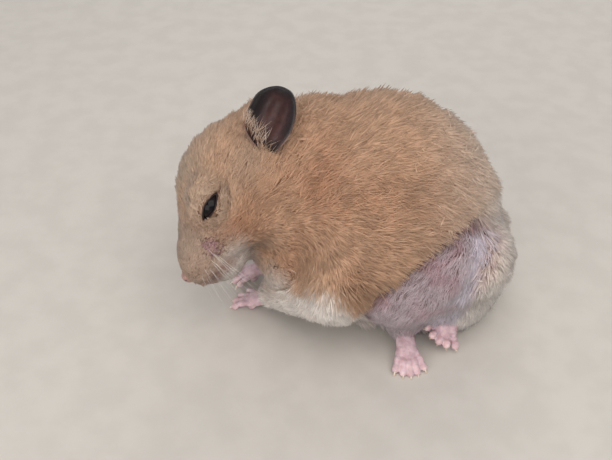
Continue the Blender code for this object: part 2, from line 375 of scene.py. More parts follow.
def markings(points):
    """Where each marking lies, 0 to 1 at each point, and the distances that the coat is set from."""
    own, world = in_left_head(points), points / MM
    x, side, z = own.T
    u, v, w = in_body(points).T
    to_skull, _ = distance_to_line(own, *SKULL_LINE)
    head = 1 - ramp(18.5, 24.5, to_skull)
    muzzle = head * ramp(11, 20, x)
    to_eye = np.linalg.norm(own - EYE_AT, axis=1)
    to_pad = np.linalg.norm((own - PAD_AT) / PAD_SIZE, axis=1) + 0.16 * ripple(world, 1.6, 30)
    to_nose = np.linalg.norm(own - NOSE_AT, axis=1)
    # The lines that bound the thigh's thin hair, and the belly's pale hair
    right_edge = 35.5 + 0.25 * np.minimum(v, 0) - 0.7 * np.maximum(v - 1, 0)
    below_fold = fold_height(u) - v + 0.45 * ripple(world, 7, 40) + 0.2 * ripple(world, 2.5, 41)
    on_thigh = ramp(0, 5, u) * ramp(0.8, -2.2, u - right_edge) * ramp(-2, 5, w)
    thin = ramp(-0.6, 0.9, below_fold) * on_thigh
    belly_line = -10.8 + 0.25 * (u + 12) - 9 * ramp(-5, 1, u) + 0.5 * ripple(world, 5, 42)
    pale = ramp(3.4, -2.4, v - belly_line) * (1 - head) * ramp(-28, -22, u)
    pale = np.maximum(pale, 0.62 * head * ramp(12, 18, x) * ramp(-6, -10, z))
    rim = ramp(-2.5, 1.5, u - right_edge) * ramp(5, -7, v - fold_height(u))
    rim *= ramp(10, 30, u) * ramp(-12, 8, w)
    crown = bell((x - 8) / 9) * ramp(3, 9, z)
    brow = 0.75 * bell((x + 2) / 8, (z + 1.5) / 4.5)
    jowl = bell((x - 14.5) / 8, (z + 8.5) / 7.5) * ramp(5, 11, side)
    throat = 0.6 * bell((x - 12) / 9, (z + 21) / 5)
    neck = 0.85 * ramp(0, -16, u) * bell((v - 16) / 12)
    return {
        "head": head,
        "muzzle": muzzle,
        "thin": thin,
        "sunk": ramp(1, 9, below_fold) * ramp(-2, 8, u) * ramp(0, -8, u - right_edge) * ramp(-4, 8, w),
        "pale": np.clip(pale * (1 - thin), 0, 1),
        "rim": rim,
        "cheek": head * np.maximum(jowl, throat) + (1 - head) * neck,
        "grey": head * np.maximum(np.maximum(crown, brow), 0.9 * ramp(8.0, 3.0, to_eye)),
        "lips": head * ramp(3.4, 1.0, to_mouth(points)) * ramp(16, 21, x),
        # Painted light: the coat grows paler towards the rump, as if lit from behind
        "lit_haunch": 0.8 * ramp(6, 38, u) * (1 - thin),
        "pad": ramp(1.2, 0.6, to_pad),
        "to_eye": to_eye,
        "to_nose": to_nose,
        "above_fold": np.where((u > 0) & (u < 36) & (w > 0), -below_fold, FAR),
        "fold": ramp(-0.2, 1.0, below_fold) * ramp(7.0, 1.0, below_fold) * on_thigh,
        # Partly painted light: the ridge's pale hair widens down towards the ankle, lightening hair that lies
        # in shade there
        "ridge": bell((u - right_edge + 3.4) / (2.0 + 0.1 * np.maximum(-v, 0))) * thin,
    }


def thinned(depth, away, least, growth, start):
    """No deeper than least near a place, and than least + growth * (away - start) further from it."""
    return np.minimum(depth, least + growth * np.maximum(away - start, 0))


def coat_depth(points, marks, sizes, bare):
    """Depth of the coat over the skin, in mm: deepest on the body, least at the nose, eyes and paws.

    The thigh's depth holds where the marking named by bare says so.
    """
    depth = mix(sizes.body_depth / MM, sizes.head_depth / MM, marks["head"])
    depth = mix(depth, sizes.muzzle_depth / MM, marks["muzzle"])
    depth = mix(depth, sizes.thigh_depth / MM, marks[bare])
    depth = mix(depth, RIM_DEPTH, marks["rim"])
    for start, end, reach in LEG_LINES:
        away, _ = distance_to_line(points / MM, start, end)
        depth = thinned(depth, away, *THIN_ON_LEGS, 0.75 * reach)
    depth = thinned(depth, marks["to_eye"], *THIN_AT_EYES)
    depth = thinned(depth, marks["to_nose"], *THIN_AT_NOSE)
    for node in (*PAWS, "tail"):
        away = np.linalg.norm(points - middle_of(node), axis=1) / MM
        depth = thinned(depth, away, *(THIN_AT_TAIL if node == "tail" else THIN_AT_PAWS))
    return depth


# Materials

BLACK, WHITE = (0, 0, 0), (1, 1, 1)
MIX = {"data_type": "RGBA"}
TINT = {"data_type": "RGBA", "blend_type": "MULTIPLY"}


def rgba(colour):
    return (*colour, 1.0)


def set_inputs(tree, node, inputs):
    """Gives a node's inputs their values, or links them to other nodes' outputs."""
    for name, value in inputs.items():
        if isinstance(value, bpy.types.NodeSocket):
            tree.links.new(value, node.inputs[name])
        else:
            node.inputs[name].default_value = value


def add(tree, kind, inputs, output=0, stops=(), **settings):
    """Adds a node with its settings, its links and a ramp's (place, colour) stops, and returns an output."""
    node = tree.nodes.new("ShaderNode" + kind)
    for name, value in settings.items():
        setattr(node, name, value)
    if stops:
        node.color_ramp.interpolation = "EASE"
        marks = node.color_ramp.elements
        while len(marks) < len(stops):
            marks.new(0.5)
        for mark, (place, colour) in zip(marks, stops):
            mark.position = place
            mark.color = rgba(colour)
    set_inputs(tree, node, inputs)
    return node.outputs[output]


def painted(name, **finish):
    """Makes a material once, when it is first asked for.

    finish holds what is the same all over it, and the function under this line returns what varies.
    """

    def named(paint):
        def material():
            if name not in bpy.data.materials:
                made = bpy.data.materials.new(name)
                made.use_nodes = True
                tree = made.node_tree
                shader = next(node for node in tree.nodes if node.type == "BSDF_PRINCIPLED")
                set_inputs(tree, shader, {key.replace("_", " "): value for key, value in finish.items()})
                set_inputs(tree, shader, paint(tree, bpy.context.scene.hamster_colours))
            return bpy.data.materials[name]

        return material

    return named


def grain(tree, size, detail, stops=(), roughness=0.5):
    """A random pattern with features of about this size, in mm, as a number or through a ramp as a colour."""
    where = add(tree, "TexCoord", {}, "Object")
    inputs = {"Vector": where, "Scale": 1 / (size * MM), "Detail": detail, "Roughness": roughness}
    height = add(tree, "TexNoise", inputs, "Fac")
    return add(tree, "ValToRGB", {0: height}, stops=stops) if stops else height


def surface(tree, colour, shade, height, depth, strength):
    """A colour times its shade from place to place, and a relief of this height, up to depth mm deep."""
    return {
        "Base Color": add(tree, "Mix", {0: 1.0, 6: colour, 7: shade}, 2, **TINT),
        "Normal": add(tree, "Bump", {"Height": height, "Distance": depth * MM, "Strength": strength}),
    }


def marked_colour(tree, colours):
    """The animal's markings, in hair colours: gold, paler and darker where the markings say so. The haunch's
    paler hair is painted light, and so, in part, is the ridge's pale hair near the ankle.
    """
    colour = rgba(colours.gold)
    for mark, hue, most in MARK_COLOURS:
        share = add(tree, "Attribute", {}, "Fac", attribute_name=mark)
        share = add(tree, "Math", {0: share, 1: most}, operation="MULTIPLY")
        colour = add(tree, "Mix", {0: share, 6: colour, 7: rgba(getattr(colours, hue))}, 2, **MIX)
    flush = grain(tree, 7, 2, ((0.5, BLACK), (0.66, (0.42, 0.42, 0.42))), 0.4)
    thin = add(tree, "Attribute", {}, "Fac", attribute_name="thin")
    flush = add(tree, "Math", {0: flush, 1: thin}, operation="MULTIPLY")
    return add(tree, "Mix", {0: flush, 6: colour, 7: rgba(colours.flush)}, 2, **MIX)


@painted("hair", Roughness=0.62, Specular_IOR_Level=0.25, Sheen_Weight=0.15)
def hair_material(tree, colours):
    """Hair: dark at the root, the marking's colour along it, and lighter or darker from tuft to tuft."""
    along = add(tree, "Attribute", {}, "Fac", attribute_name="along")
    tone = add(tree, "Attribute", {}, "Fac", attribute_name="tone")
    colour = marked_colour(tree, colours)
    root = add(tree, "Mix", {0: 1.0, 6: colour, 7: rgba(colours.under)}, 2, **TINT)
    rise = add(tree, "ValToRGB", {0: along}, stops=((0.1, BLACK), (0.62, WHITE)))
    colour = add(tree, "Mix", {0: rise, 6: root, 7: colour}, 2, **MIX)
    light = add(tree, "Math", {0: tone, 1: 0.42, 2: 0.82}, operation="MULTIPLY_ADD")
    grey = add(tree, "CombineXYZ", {0: light, 1: light, 2: light})
    return {"Base Color": add(tree, "Mix", {0: 1.0, 6: colour, 7: grey}, 2, **TINT)}


@painted("skin", Roughness=0.6, Specular_IOR_Level=0.3)
def skin_material(tree, colours):
    """Skin: dark and warm under deep coat, lilac under thin hair, grained and pink on the bare pads, and dark
    with painted shade in the mouth's crease.
    """
    fine = grain(tree, 0.6, 4)
    marked = marked_colour(tree, colours)
    colour = add(tree, "Mix", {0: 0.45, 6: marked, 7: rgba(colours.under)}, 2, **TINT)
    grains = add(tree, "ValToRGB", {0: fine}, stops=((0.42, (0.72, 0.66, 0.7)), (0.56, (1.45, 1.38, 1.4))))
    pad = add(tree, "Mix", {0: 1.0, 6: rgba(colours.pad), 7: grains}, 2, **TINT)
    lilac, lid, mouth = rgba(colours.lilac), rgba(colours.lid), rgba(colours.mouth)
    # The mouth's colour, laid in its crease, is painted shade
    for mark, hue in (("thin", lilac), ("pad", pad), ("lids", lid), ("mouth", mouth)):
        share = add(tree, "Attribute", {}, "Fac", attribute_name=mark)
        colour = add(tree, "Mix", {0: share, 6: colour, 7: hue}, 2, **MIX)
    shade = grain(tree, 5, 2, ((0.3, (0.8, 0.78, 0.78)), (0.7, (1.1, 1.08, 1.08))))
    return surface(tree, colour, shade, fine, 0.3, 0.7)


@painted("wet_eye", Roughness=0.16, Specular_IOR_Level=0.16)
def eye_material(tree, colours):
    """Wet dark eye: nearly black, with a brown glow where the light goes in."""
    return {"Base Color": grain(tree, 1.2, 3, ((0.35, linear("#0B0708")), (0.65, linear("#1A1112"))))}


@painted("ear_skin", Roughness=0.5, Specular_IOR_Level=0.35, Sheen_Weight=0.12)
def ear_material(tree, colours):
    """Ear skin: dark and thin at the rim, red-brown in the hollow and near black with painted shade low in
    it, veined, with a faint bluish sheen.
    """
    names = ("inside", "edge", "rise")
    inside, edge, rise = (add(tree, "Attribute", {}, "Fac", attribute_name=name) for name in names)
    rim, red = colours.ear_rim, colours.ear_red
    hollow = add(tree, "ValToRGB", {0: edge}, stops=((0.3, red), (0.75, colours.ear_hollow), (0.95, rim)))
    # Painted shade: the hollow turns near black low down, where it runs deep towards the head
    low = add(tree, "ValToRGB", {0: rise}, stops=((0.05, colours.ear_low_shade), (0.35, red)))
    above = add(tree, "ValToRGB", {0: rise}, stops=((0.15, BLACK), (0.45, WHITE)))
    hollow = add(tree, "Mix", {0: above, 6: low, 7: hollow}, 2, **MIX)
    back = add(tree, "ValToRGB", {0: rise}, stops=((0.2, colours.ear_back), (0.85, rim)))
    colour = add(tree, "Mix", {0: inside, 6: back, 7: hollow}, 2, **MIX)
    veins = grain(tree, 2.5, 4, ((0.35, (0.75, 0.72, 0.75)), (0.65, (1.2, 1.15, 1.15))), 0.6)
    return surface(tree, colour, veins, grain(tree, 0.5, 3), 0.2, 0.5)


@painted(
    "nose_skin", Roughness=0.42, Specular_IOR_Level=0.5, Subsurface_Weight=0.15, Subsurface_Scale=0.001
)
def nose_material(tree, colours):
    """Damp bare skin: it shines a little, light glows through it, and its pits are dark with painted shade.
    """
    deep = add(tree, "Attribute", {}, "Fac", attribute_name="deep")
    colour = add(tree, "Mix", {0: deep, 6: rgba(colours.nose), 7: rgba(colours.mouth)}, 2, **MIX)
    shade = grain(tree, 0.7, 3, ((0.35, (0.85, 0.85, 0.85)), (0.65, (1.12, 1.1, 1.1))))
    return surface(tree, colour, shade, grain(tree, 0.4, 2), 0.15, 0.6)


@painted("paw_skin", Roughness=0.5, Specular_IOR_Level=0.4, Subsurface_Weight=0.2, Subsurface_Scale=0.0012)
def paw_material(tree, colours):
    """Bare skin of the paws: pink, redder at the tips, with fine rings in relief."""
    tips = add(tree, "Attribute", {}, "Fac", attribute_name="tips")
    colour = add(tree, "Mix", {0: tips, 6: rgba(colours.paw), 7: rgba(colours.toe)}, 2, **MIX)
    shade = grain(tree, 2.2, 3, ((0.3, (0.82, 0.76, 0.78)), (0.7, (1.12, 1.12, 1.12))))
    rings = add(tree, "Math", {0: grain(tree, 0.5, 3), 1: grain(tree, 1.4, 2)}, operation="ADD")
    return surface(tree, colour, shade, rings, 0.3, 0.7)


@painted("claw_horn", Roughness=0.3, Specular_IOR_Level=0.5, Subsurface_Weight=0.3, Subsurface_Scale=0.0008)
def claw_material(tree, colours):
    """Horn of the claws: pale, slightly clear, browner in streaks."""
    return {"Base Color": grain(tree, 0.6, 3, ((0.3, linear("#C9B3A2")), (0.7, linear("#E2D3C6"))))}


@painted("whisker_hair", Roughness=0.35, Specular_IOR_Level=0.5)
def whisker_material(tree, colours):
    """Whisker hair: pale and a little glossy, with faint bands along it."""
    return {"Base Color": grain(tree, 4, 2, ((0.35, linear("#D9D0C6")), (0.65, linear("#EFE9E2"))))}


@painted("painted_board", Roughness=0.8, Specular_IOR_Level=0.2)
def board_material(tree, colours):
    """Painted board: matt, and so even that it only keeps the floor from looking empty."""
    return {"Base Color": grain(tree, 10, 3, ((0.35, linear("#C9C3BB")), (0.65, linear("#CEC8C0"))))}


# Skin

# The mouth's line on the head's axes, and the width and depth of what is pressed into the skin, in mm
MOUTH_LINE = ((27.4, 0, -6.6), (25.6, 4.6, -8.4), (22.6, 6.4, -10.2), (18.6, 6.6, -11.6), (15.2, 7.0, -11.4))
MOUTH_WIDTH = 0.7
MOUTH_DEPTH = 1.6
FOLD_DEPTH = 1.0
EAR_HOLLOW = 4.0
EAR_HOLLOW_DEPTH = 3.0
EAR_HOLLOW_RISE = 3.5
# Rounds of easing, and how the skin is let in: in steps, each eased, with the coat this far over the solids
EASING = 30
NAPE_EASING = 300
INSET_STEPS = 6
INSET_EASING = 0.35
COAT_PROUD = 0.2


def merged_flesh(growth, voxel):
    """One closed surface round all the flesh: the solids, grown over the thin cuts between them, remeshed."""
    bm = bmesh.new()
    for node in FLESH:
        bm.from_mesh(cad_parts[node].data)
    for side_name, _ in SIDES:
        middle = Matrix.Translation(middle_of("eye_" + side_name))
        bmesh.ops.create_icosphere(bm, subdivisions=3, radius=EYE_RADIUS * MM, matrix=middle)
    bmesh.ops.remove_doubles(bm, verts=bm.verts, dist=10 * SAME_POINT)
    bm.normal_update()
    for vert in bm.verts:
        vert.co += vert.normal * growth
    mesh = bpy.data.meshes.new("flesh")
    bm.to_mesh(mesh)
    bm.free()
    return remeshed(put_object("flesh", mesh), voxel)


def remeshed(obj, voxel):
    """The voxel remesh of an object, as a mesh; the object isn't needed after it."""
    remesh = obj.modifiers.new("voxels", "REMESH")
    remesh.mode = "VOXEL"
    remesh.voxel_size = voxel
    remesh.adaptivity = 0
    bpy.context.view_layer.update()
    result = bpy.data.meshes.new_from_object(obj.evaluated_get(bpy.context.evaluated_depsgraph_get()))
    mesh = obj.data
    bpy.data.objects.remove(obj)
    bpy.data.meshes.remove(mesh)
    return result


def to_mouth(points):
    """Distance in mm from the line of the mouth, which runs back from under the nose on both sides."""
    own = in_left_head(points)
    return np.min([distance_to_line(own, a, b)[0] for a, b in zip(MOUTH_LINE, MOUTH_LINE[1:])], axis=0)


def to_ear_root(points):
    """Distance in mm from the middle of the nearer ear's root."""
    return np.linalg.norm(in_left_head(points) - EAR_ROOT - EAR_UP * EAR_HOLLOW_RISE, axis=1)


def filled_nape(points, triangles, edges):
    """Fills the groove behind the head: a point rises to the much eased surface where that is higher."""
    to_skull, _ = distance_to_line(in_head(points), *SKULL_LINE)
    nape = ramp(10, 17, to_skull) * ramp(38, 28, to_skull) * ramp(-4, 6, in_body(points)[:, 1])
    normals = normals_of(points, triangles)
    rise = np.sum((eased(points, edges, 0.5, NAPE_EASING) - points) * normals, 1)
    return points + normals * (np.maximum(rise, 0) * nape)[:, None]


def make_skin():
    """The skin: the merged flesh with its nape filled, let in by the depth of the coat.

    p' = p - n D(p) / N at each of N steps, with the normals n taken again each time. The mouth, the flank's
    fold and the ears' roots are then pressed into it, each as a bell of the distance from its line or middle.
    """
    sizes = bpy.context.scene.hamster_sizes
    mesh = merged_flesh(sizes.growth, sizes.skin_voxel)
    points, triangles, edges = points_of(mesh), triangles_of(mesh), edges_of(mesh)
    points = eased(points, edges, 0.5, EASING)
    points = filled_nape(points, triangles, edges)
    marks = markings(points)
    coat = coat_depth(points, marks, sizes, "thin")
    depth = coat_depth(points, marks, sizes, "sunk") + sizes.growth / MM - COAT_PROUD
    for _ in range(INSET_STEPS):
        points = points - normals_of(points, triangles) * (depth * MM / INSET_STEPS)[:, None]
        points = eased(points, edges, INSET_EASING)
    # The groove is painted dark in the skin's material too: painted shade in the crease
    groove = bell(to_mouth(points) / MOUTH_WIDTH)
    hollow = bell(to_ear_root(points) / EAR_HOLLOW)
    sunk = groove * MOUTH_DEPTH + markings(points)["fold"] * FOLD_DEPTH + hollow * EAR_HOLLOW_DEPTH
    points = points - normals_of(points, triangles) * (sunk * MM)[:, None]
    points = set_round_eyes(eased(points, edges, INSET_EASING))
    skin = put_moved("skin", mesh, points)
    marks = markings(points)
    set_numbers(skin, mouth=groove, coat=coat, **{name: marks[name] for name in SKIN_MARKS})
    finished(skin, skin_material(), FLESH)


# Coat

# The nape, which the hairs of the body lie out from, in the body's axes
CROWN = np.array((-17.0, 12.0, 0.0))
CROWN_TO_NOSE = unit(in_body(middle_of("nose")) - CROWN)
THIGH_LIE = np.array((-0.45, -0.35, -0.8))
RIDGE_LIE = (-0.02, -0.15, -1.0)

# Where the coat is cut into pieces: forward of the skull, and behind the shoulder and the flank
FACE_FROM = 10
SHOULDER_TO, FLANK_TO = -6, 16

# Swirls in the lie of the coat: the size in mm and the share of each, and its seed
COAT_SWIRLS = ((11, 0.1, 1), (3.2, 0.14, 4), (1.4, 0.14, 14))
COAT_STRAY = 0.18
SIDE_SHADE = 0.5
# The share of the tufts that is left out under the ears and the body, and how dense they stand near the
# eyes against the muzzle
UNDER_EAR = 0.9
UNDER_BODY = 0.75
NEAR_EYE = 0.8
GROUND_CELL = 1.0 * MM
GROUND_MARGIN = 9

# A tuft: where its belly lies along it, how high, and how far it at least stands over the chord
TUFT_BELLY = 0.45
BELLY_HEIGHT = 0.62
BELLY_CROWN = 0.08
BAKE_PATCH = 0.003
TUFT_FACES = np.array(((0, 1, 2), (3, 2, 1), (0, 3, 1), (0, 2, 3)))
TUFT_ALONG = np.array((0.0, TUFT_BELLY, TUFT_BELLY, 1.0))
TUFT_PATCH = np.array(((0, -0.5), (-0.5, 0), (0.5, 0), (0, 0.5))) * BAKE_PATCH
TUFTS_IN_A_MESH = 49000

# Where no tuft grows: in mm from the mouth, the nose and the tail's tip, and as a share of the eye's opening
BARE_MOUTH = 0.7
BARE_NOSE = 2.6
BARE_TAIL = 1.6
BARE_EYE = 1.04


def toward(points, start, end, reach):
    """A pull along a leg: its direction, and its share, 1 at the leg's line and 0 past its reach."""
    away, share = distance_to_line(points, start, end)
    near = ramp(reach * 1.15, reach * 0.5, away) * ramp(0.0, 0.35, share)
    return unit(np.subtract(end, start)), near


def lie_of_coat(points):
    """The way that the hairs point: a sum of flows, each weighed by where it holds.

    They lie back from the nose over the head, out from the nape over the body, down along the legs, and
    past the eyes rather than into them.
    """
    from_nose = unit(points - middle_of("nose") - HEAD_AXES[0] * MM)
    radial = (points - from_body(CROWN)) / (30 * MM)
    ahead = (in_body(points) - CROWN) @ CROWN_TO_NOSE
    flow = mix(radial, from_nose, ramp(-12, 4, ahead)[:, None])
    marks = markings(points)
    u, v, _ = in_body(points).T
    flow[:, 2] -= (0.9 * ramp(2, -14, v) + 1.6 * ramp(12, -4, v) * ramp(6, -10, u)) * (1 - marks["head"])
    for start, end, reach in LEG_LINES:
        direction, share = toward(points / MM, start, end, reach)
        flow = mix(flow, direction, share[:, None])
    flow = mix(unit(flow), THIGH_LIE, marks["thin"][:, None])
    flow = mix(flow, RIDGE_LIE, np.maximum(marks["rim"] * 0.8, marks["ridge"])[:, None])
    away, from_eye = from_nearest_eye(points)
    into = np.minimum(np.sum(unit(flow) * from_eye, 1) - 0.25, 0) * ramp(5.5, 3.0, away)
    return unit(flow) - from_eye * into[:, None]


def regions(points):
    """The coat's pieces by name: parts of the animal small enough for one mesh each."""
    x, y, _ = in_head(points).T
    u, _, w = in_body(points).T
    on_head = markings(points)["head"] > 0.5
    for side, is_side in (("left", y > 0), ("right", y <= 0)):
        yield "coat_face_" + side, on_head & (x > FACE_FROM) & is_side
        yield "coat_head_" + side, on_head & (x <= FACE_FROM) & is_side
    shoulder, rump = u < SHOULDER_TO, u >= FLANK_TO
    for part, is_part in (("shoulder", shoulder), ("flank", ~shoulder & ~rump), ("rump", rump)):
        for side, is_side in (("left", w > 0), ("right", w <= 0)):
            yield f"coat_{part}_{side}", ~on_head & is_part & is_side


def scattered(points, triangles, density, draw):
    """Evenly spread places on a surface: each one's triangle, and its weights at the corners.

    The running sum of area times density is cut into steps of 1, and a step's triangle gets one place.
    """
    a, b, c = (points[triangles[:, i]] for i in range(3))
    area = np.linalg.norm(np.cross(b - a, c - a), axis=1) / 2
    total = np.cumsum(area * density[triangles].mean(1))
    count = int(total[-1])
    chosen = np.searchsorted(total, np.arange(count) + draw.uniform(0, 1, count))
    chosen = np.minimum(chosen, len(triangles) - 1)
    first, second = draw.uniform(0, 1, (2, count))
    root = np.sqrt(first)
    return chosen, np.stack((1 - root, root * (1 - second), root * second), 1)


def at_places(values, triangles, chosen, weights):
    """Values of a surface's points, read at places on its triangles."""
    return np.einsum("nc,nc...->n...", weights, values[triangles[chosen]])


def hair_density(marks, points, normals, sizes):
    """Tufts for each square metre of skin: fewer under the ears and where the skin faces the floor."""
    density = mix(sizes.body_tufts, sizes.head_tufts, marks["head"])
    density = mix(density, sizes.muzzle_tufts, marks["muzzle"])
    density = mix(density, sizes.thigh_tufts, marks["thin"])
    density = density * (1 - UNDER_EAR * ramp(2.5, 1.5, to_ear_root(points)))
    near_eye = marks["head"] * ramp(9, 4, marks["to_eye"])
    density = mix(density, sizes.muzzle_tufts * NEAR_EYE, near_eye)
    hidden = ramp(-0.6, -0.95, normals[:, 2]) * ramp(6, 2, points[:, 2] / MM)
    return density * (1 - UNDER_BODY * hidden)


def unwrapped(points, centre):
    """The skin laid flat: longitude and equal-area latitude of each point round a centre, from 0 to 1."""
    way = unit(points - centre)
    around = np.arctan2(way[:, 1], way[:, 0]) / (2 * pi) + 0.5
    return np.clip(np.stack((around, (1 + way[:, 2]) / 2), 1), BAKE_PATCH, 1 - BAKE_PATCH)


def tuft_points(ground, roots, normals, flow, length, height, width):
    """The four corners of each tuft, a thin closed wedge: its root, the two ends of its belly, its tip.

    A tuft leaves its root steeply and lies down towards its tip. Its belly lies at root + 0.45 L f, and its
    tip at root + L f, with L the length and f the lie of the coat along the skin. Both are then laid at
    their heights, 0.62 h and h, over the skin that they have come to, and the belly is kept at least 0.08 L
    above the chord.
    """
    reach = flow * length[:, None]
    belly = roots + TUFT_BELLY * reach + normals * BELLY_HEIGHT * height[:, None]
    belly = ground.lay(belly, BELLY_HEIGHT * height, 1.5 * MM)
    tips = ground.lay(roots + reach + normals * height[:, None], height, 4 * MM)
    chord = mix(roots, tips, TUFT_BELLY)
    crown = np.maximum(np.sum((belly - chord) * normals, 1), BELLY_CROWN * length)
    belly = chord + normals * crown[:, None]
    across = np.cross(normals, flow) * (width / 2)[:, None]
    corners = np.stack((roots - 0.1 * MM * normals, belly - across, belly + across, tips), 1)
    corners[:, 1:, 2] = np.maximum(corners[:, 1:, 2], 0.1 * MM)
    return corners


class Ground:
    """The skin as a grid of cells, each with a near point of the skin, so that tufts can follow its form."""

    def __init__(self, points, normals):
        self.points, self.normals = points, normals
        self.low = points.min(0) - GROUND_MARGIN * GROUND_CELL
        self.shape = np.ceil((points.max(0) - self.low) / GROUND_CELL).astype(int) + GROUND_MARGIN
        self.near = np.full(self.shape, -1)
        self.near[tuple(self.cells(points).T)] = np.arange(len(points))
        for _ in range(GROUND_MARGIN):
            for axis in range(3):
                for step in (1, -1):
                    moved = np.roll(self.near, step, axis)
                    self.near = np.where(self.near < 0, moved, self.near)

    def cells(self, points):
        return np.clip(((points - self.low) / GROUND_CELL).astype(int), 0, self.shape - 1)

    def lay(self, points, height, most):
        """Moves points to a height over the skin next to them, by no more than a given distance."""
        near = self.near[tuple(self.cells(points).T)]
        known = near >= 0
        normals = self.normals[near]
        off = height - np.sum((points - self.points[near]) * normals, 1)
        return points + normals * (np.clip(off, -most, most) * known)[:, None]


def make_coat():
    """The coat: tufts over the whole skin, joined into one mesh for each part of the animal."""
    sizes = bpy.context.scene.hamster_sizes
    mesh = bpy.data.objects["skin"].data
    points, triangles = points_of(mesh), triangles_of(mesh)
    skin_normals = normals_of(points, triangles)
    draw = np.random.default_rng(11)
    density = hair_density(markings(points), points, skin_normals, sizes)
    chosen, weights = scattered(points, triangles, density, draw)
    roots = at_places(points, triangles, chosen, weights)
    normals = unit(at_places(skin_normals, triangles, chosen, weights))
    depth = at_places(numbers_of(mesh, "coat"), triangles, chosen, weights) * MM
    marks = markings(roots)
    clear = (marks["pad"] < draw.uniform(0.1, 1.1, len(roots))) & (to_mouth(roots) > BARE_MOUTH)
    clear &= (marks["to_nose"] > BARE_NOSE) & (to_eye_opening(roots) > BARE_EYE)
    clear &= np.linalg.norm(roots / MM - TAIL_TIP, axis=1) > BARE_TAIL
    roots, normals, depth = roots[clear], normals[clear], depth[clear]
    marks = {name: values[clear] for name, values in marks.items()}
    count, world = len(roots), roots / MM

    flow = unit(lie_of_coat(roots)) + sum(
        np.stack([ripple(world, size, seed + axis) for axis in range(3)], 1) * share
        for size, share, seed in COAT_SWIRLS
    )
    flow = flow + draw.normal(size=(count, 3)) * COAT_STRAY
    flow = unit(flow - normals * np.sum(flow * normals, 1)[:, None])
    # A tuft is a little longer than the coat is deep, and short where it would hang over the flank's fold
    length = (1.05 * depth + 1.0 * MM) * draw.uniform(0.7, 1.2, count)
    length *= 1 + 0.5 * marks["thin"]
    above = marks["above_fold"]
    length = np.where(above > 0, np.minimum(length, (2.4 + 1.1 * above) * MM), length)
    height = depth * draw.uniform(0.4, 1.1, count) * (1 + 0.1 * ripple(world, 4, 7))
    width = (0.018 * length + 0.07 * MM) * draw.uniform(0.7, 1.3, count) * mix(1.0, 0.7, marks["thin"])
    corners = tuft_points(Ground(points, skin_normals), roots, normals, flow, length, height, width)
    # Tufts are lighter and darker in clumps, less so on the head, and from one to the next
    clumps = mix(1.0, 0.5, np.maximum(marks["head"], marks["thin"]))
    clumps = clumps * (0.2 * ripple(world, 2.4, 8) + 0.14 * ripple(world, 6, 9))
    tone = 0.5 + clumps + draw.normal(size=count) * 0.28
    numbers = {"tone": np.clip(tone, 0, 1), **{mark: marks[mark] for mark in HAIR_MARKS}}
    shading = unit(mix(normals, flow, 0.25))
    for name, inside in regions(roots):
        own = {key: values[inside] for key, values in numbers.items()}
        put_tufts(name, corners[inside], shading[inside], roots[inside], own)


def put_tufts(name, corners, shading, roots, numbers):
    """One mesh of tufts, each a patch of the bake map at its root's place on the unwrapped skin.

    Their normals are mixed with the coat's own, so that light falls over them as over one soft form.
    """
    count = len(corners)
    if count > TUFTS_IN_A_MESH:
        raise RuntimeError(f"{name} has {count} tufts, more than one mesh may hold")
    faces = (np.arange(count)[:, None, None] * 4 + TUFT_FACES).reshape(-1, 3)
    coat = put_mesh(name, corners.reshape(-1, 3), faces)
    numbers = {key: np.repeat(values, 4) for key, values in numbers.items()}
    set_numbers(coat, along=np.tile(TUFT_ALONG, count), **numbers)
    place = unwrapped(roots, roots.mean(0))
    patch = (place[:, None] + TUFT_PATCH).reshape(-1, 2)
    unwrap = coat.data.uv_layers.new(name="OFBake")
    unwrap.data.foreach_set("uv", patch[faces.ravel()].astype(np.float32).ravel())
    outward = np.repeat(shading[:, None], 4, 1)
    across = unit(corners[:, 2] - corners[:, 1]) * SIDE_SHADE
    outward[:, 1] -= across
    outward[:, 2] += across
    normals = unit(outward).reshape(-1, 3).astype(np.float32)
    coat.data.normals_split_custom_set_from_vertices(normals.tolist())
    finished(coat, hair_material())


# Eyes, in mm on each eye's own axes

EYE_OUT = (0.22, 0.97, -0.12)
EYE_ALONG = (1.0, 0.0, -0.1)
EYE_RADIUS = 3.5
EYE_ROWS, EYE_COLUMNS = 33, 48
OPENING = (3.15, 1.12)
OPENING_POINT = 1.45
LID_SIDES = 96
# The lids' rim: how far out from the opening's edge, and how far up from the eyeball to the lids' own height
LID_RIM = ((0.8, -0.35), (0.2, 0.02), (0.02, 0.1), (0.0, 0.3), (0.05, 0.75), (0.14, 1.0))
LID_REACH = 1.1
EYE_FORM = 7.5


def eye_place(side):
    """The eye's own axes in the world: along the opening, across it, and out of the eye; and its middle."""
    mirror = np.array((1, side, 1))
    out = unit(np.array(EYE_OUT) * mirror)
    along = np.array(EYE_ALONG) * mirror
    along = unit(along - out * (along @ out))
    axes = np.array((along, np.cross(out, along) * side, out)) @ HEAD_AXES
    return axes, middle_of("eye_left" if side > 0 else "eye_right")


def in_eye(points, side):
    axes, middle = eye_place(side)
    return ((points - middle) @ axes.T / MM).T


def opening_radius(around):
    """The almond of the eye's opening at each angle: a superellipse, with corners."""
    (a, b), power = OPENING, OPENING_POINT
    return (np.abs(np.cos(around) / a) ** power + np.abs(np.sin(around) / b) ** power) ** (-1 / power)


def opening_share(a, b):
    """How far out a place lies, as a share of the opening's size there: 1 is its edge."""
    return np.hypot(a, b) / opening_radius(np.arctan2(b, a))


def to_eye_opening(points):
    """The share of the nearer eye's opening that points lie at, 0 on the eyeball and large far from it."""
    nearest = np.full(len(points), FAR)
    for _, side in SIDES:
        a, b, c = in_eye(points, side)
        away = np.hypot(a, b)
        share = np.where(np.hypot(away, c) < EYE_RADIUS + 0.15, 0.0, opening_share(a, b))
        nearest = np.minimum(nearest, np.where((c > -2.5) & (away < 6), share, FAR))
    return nearest


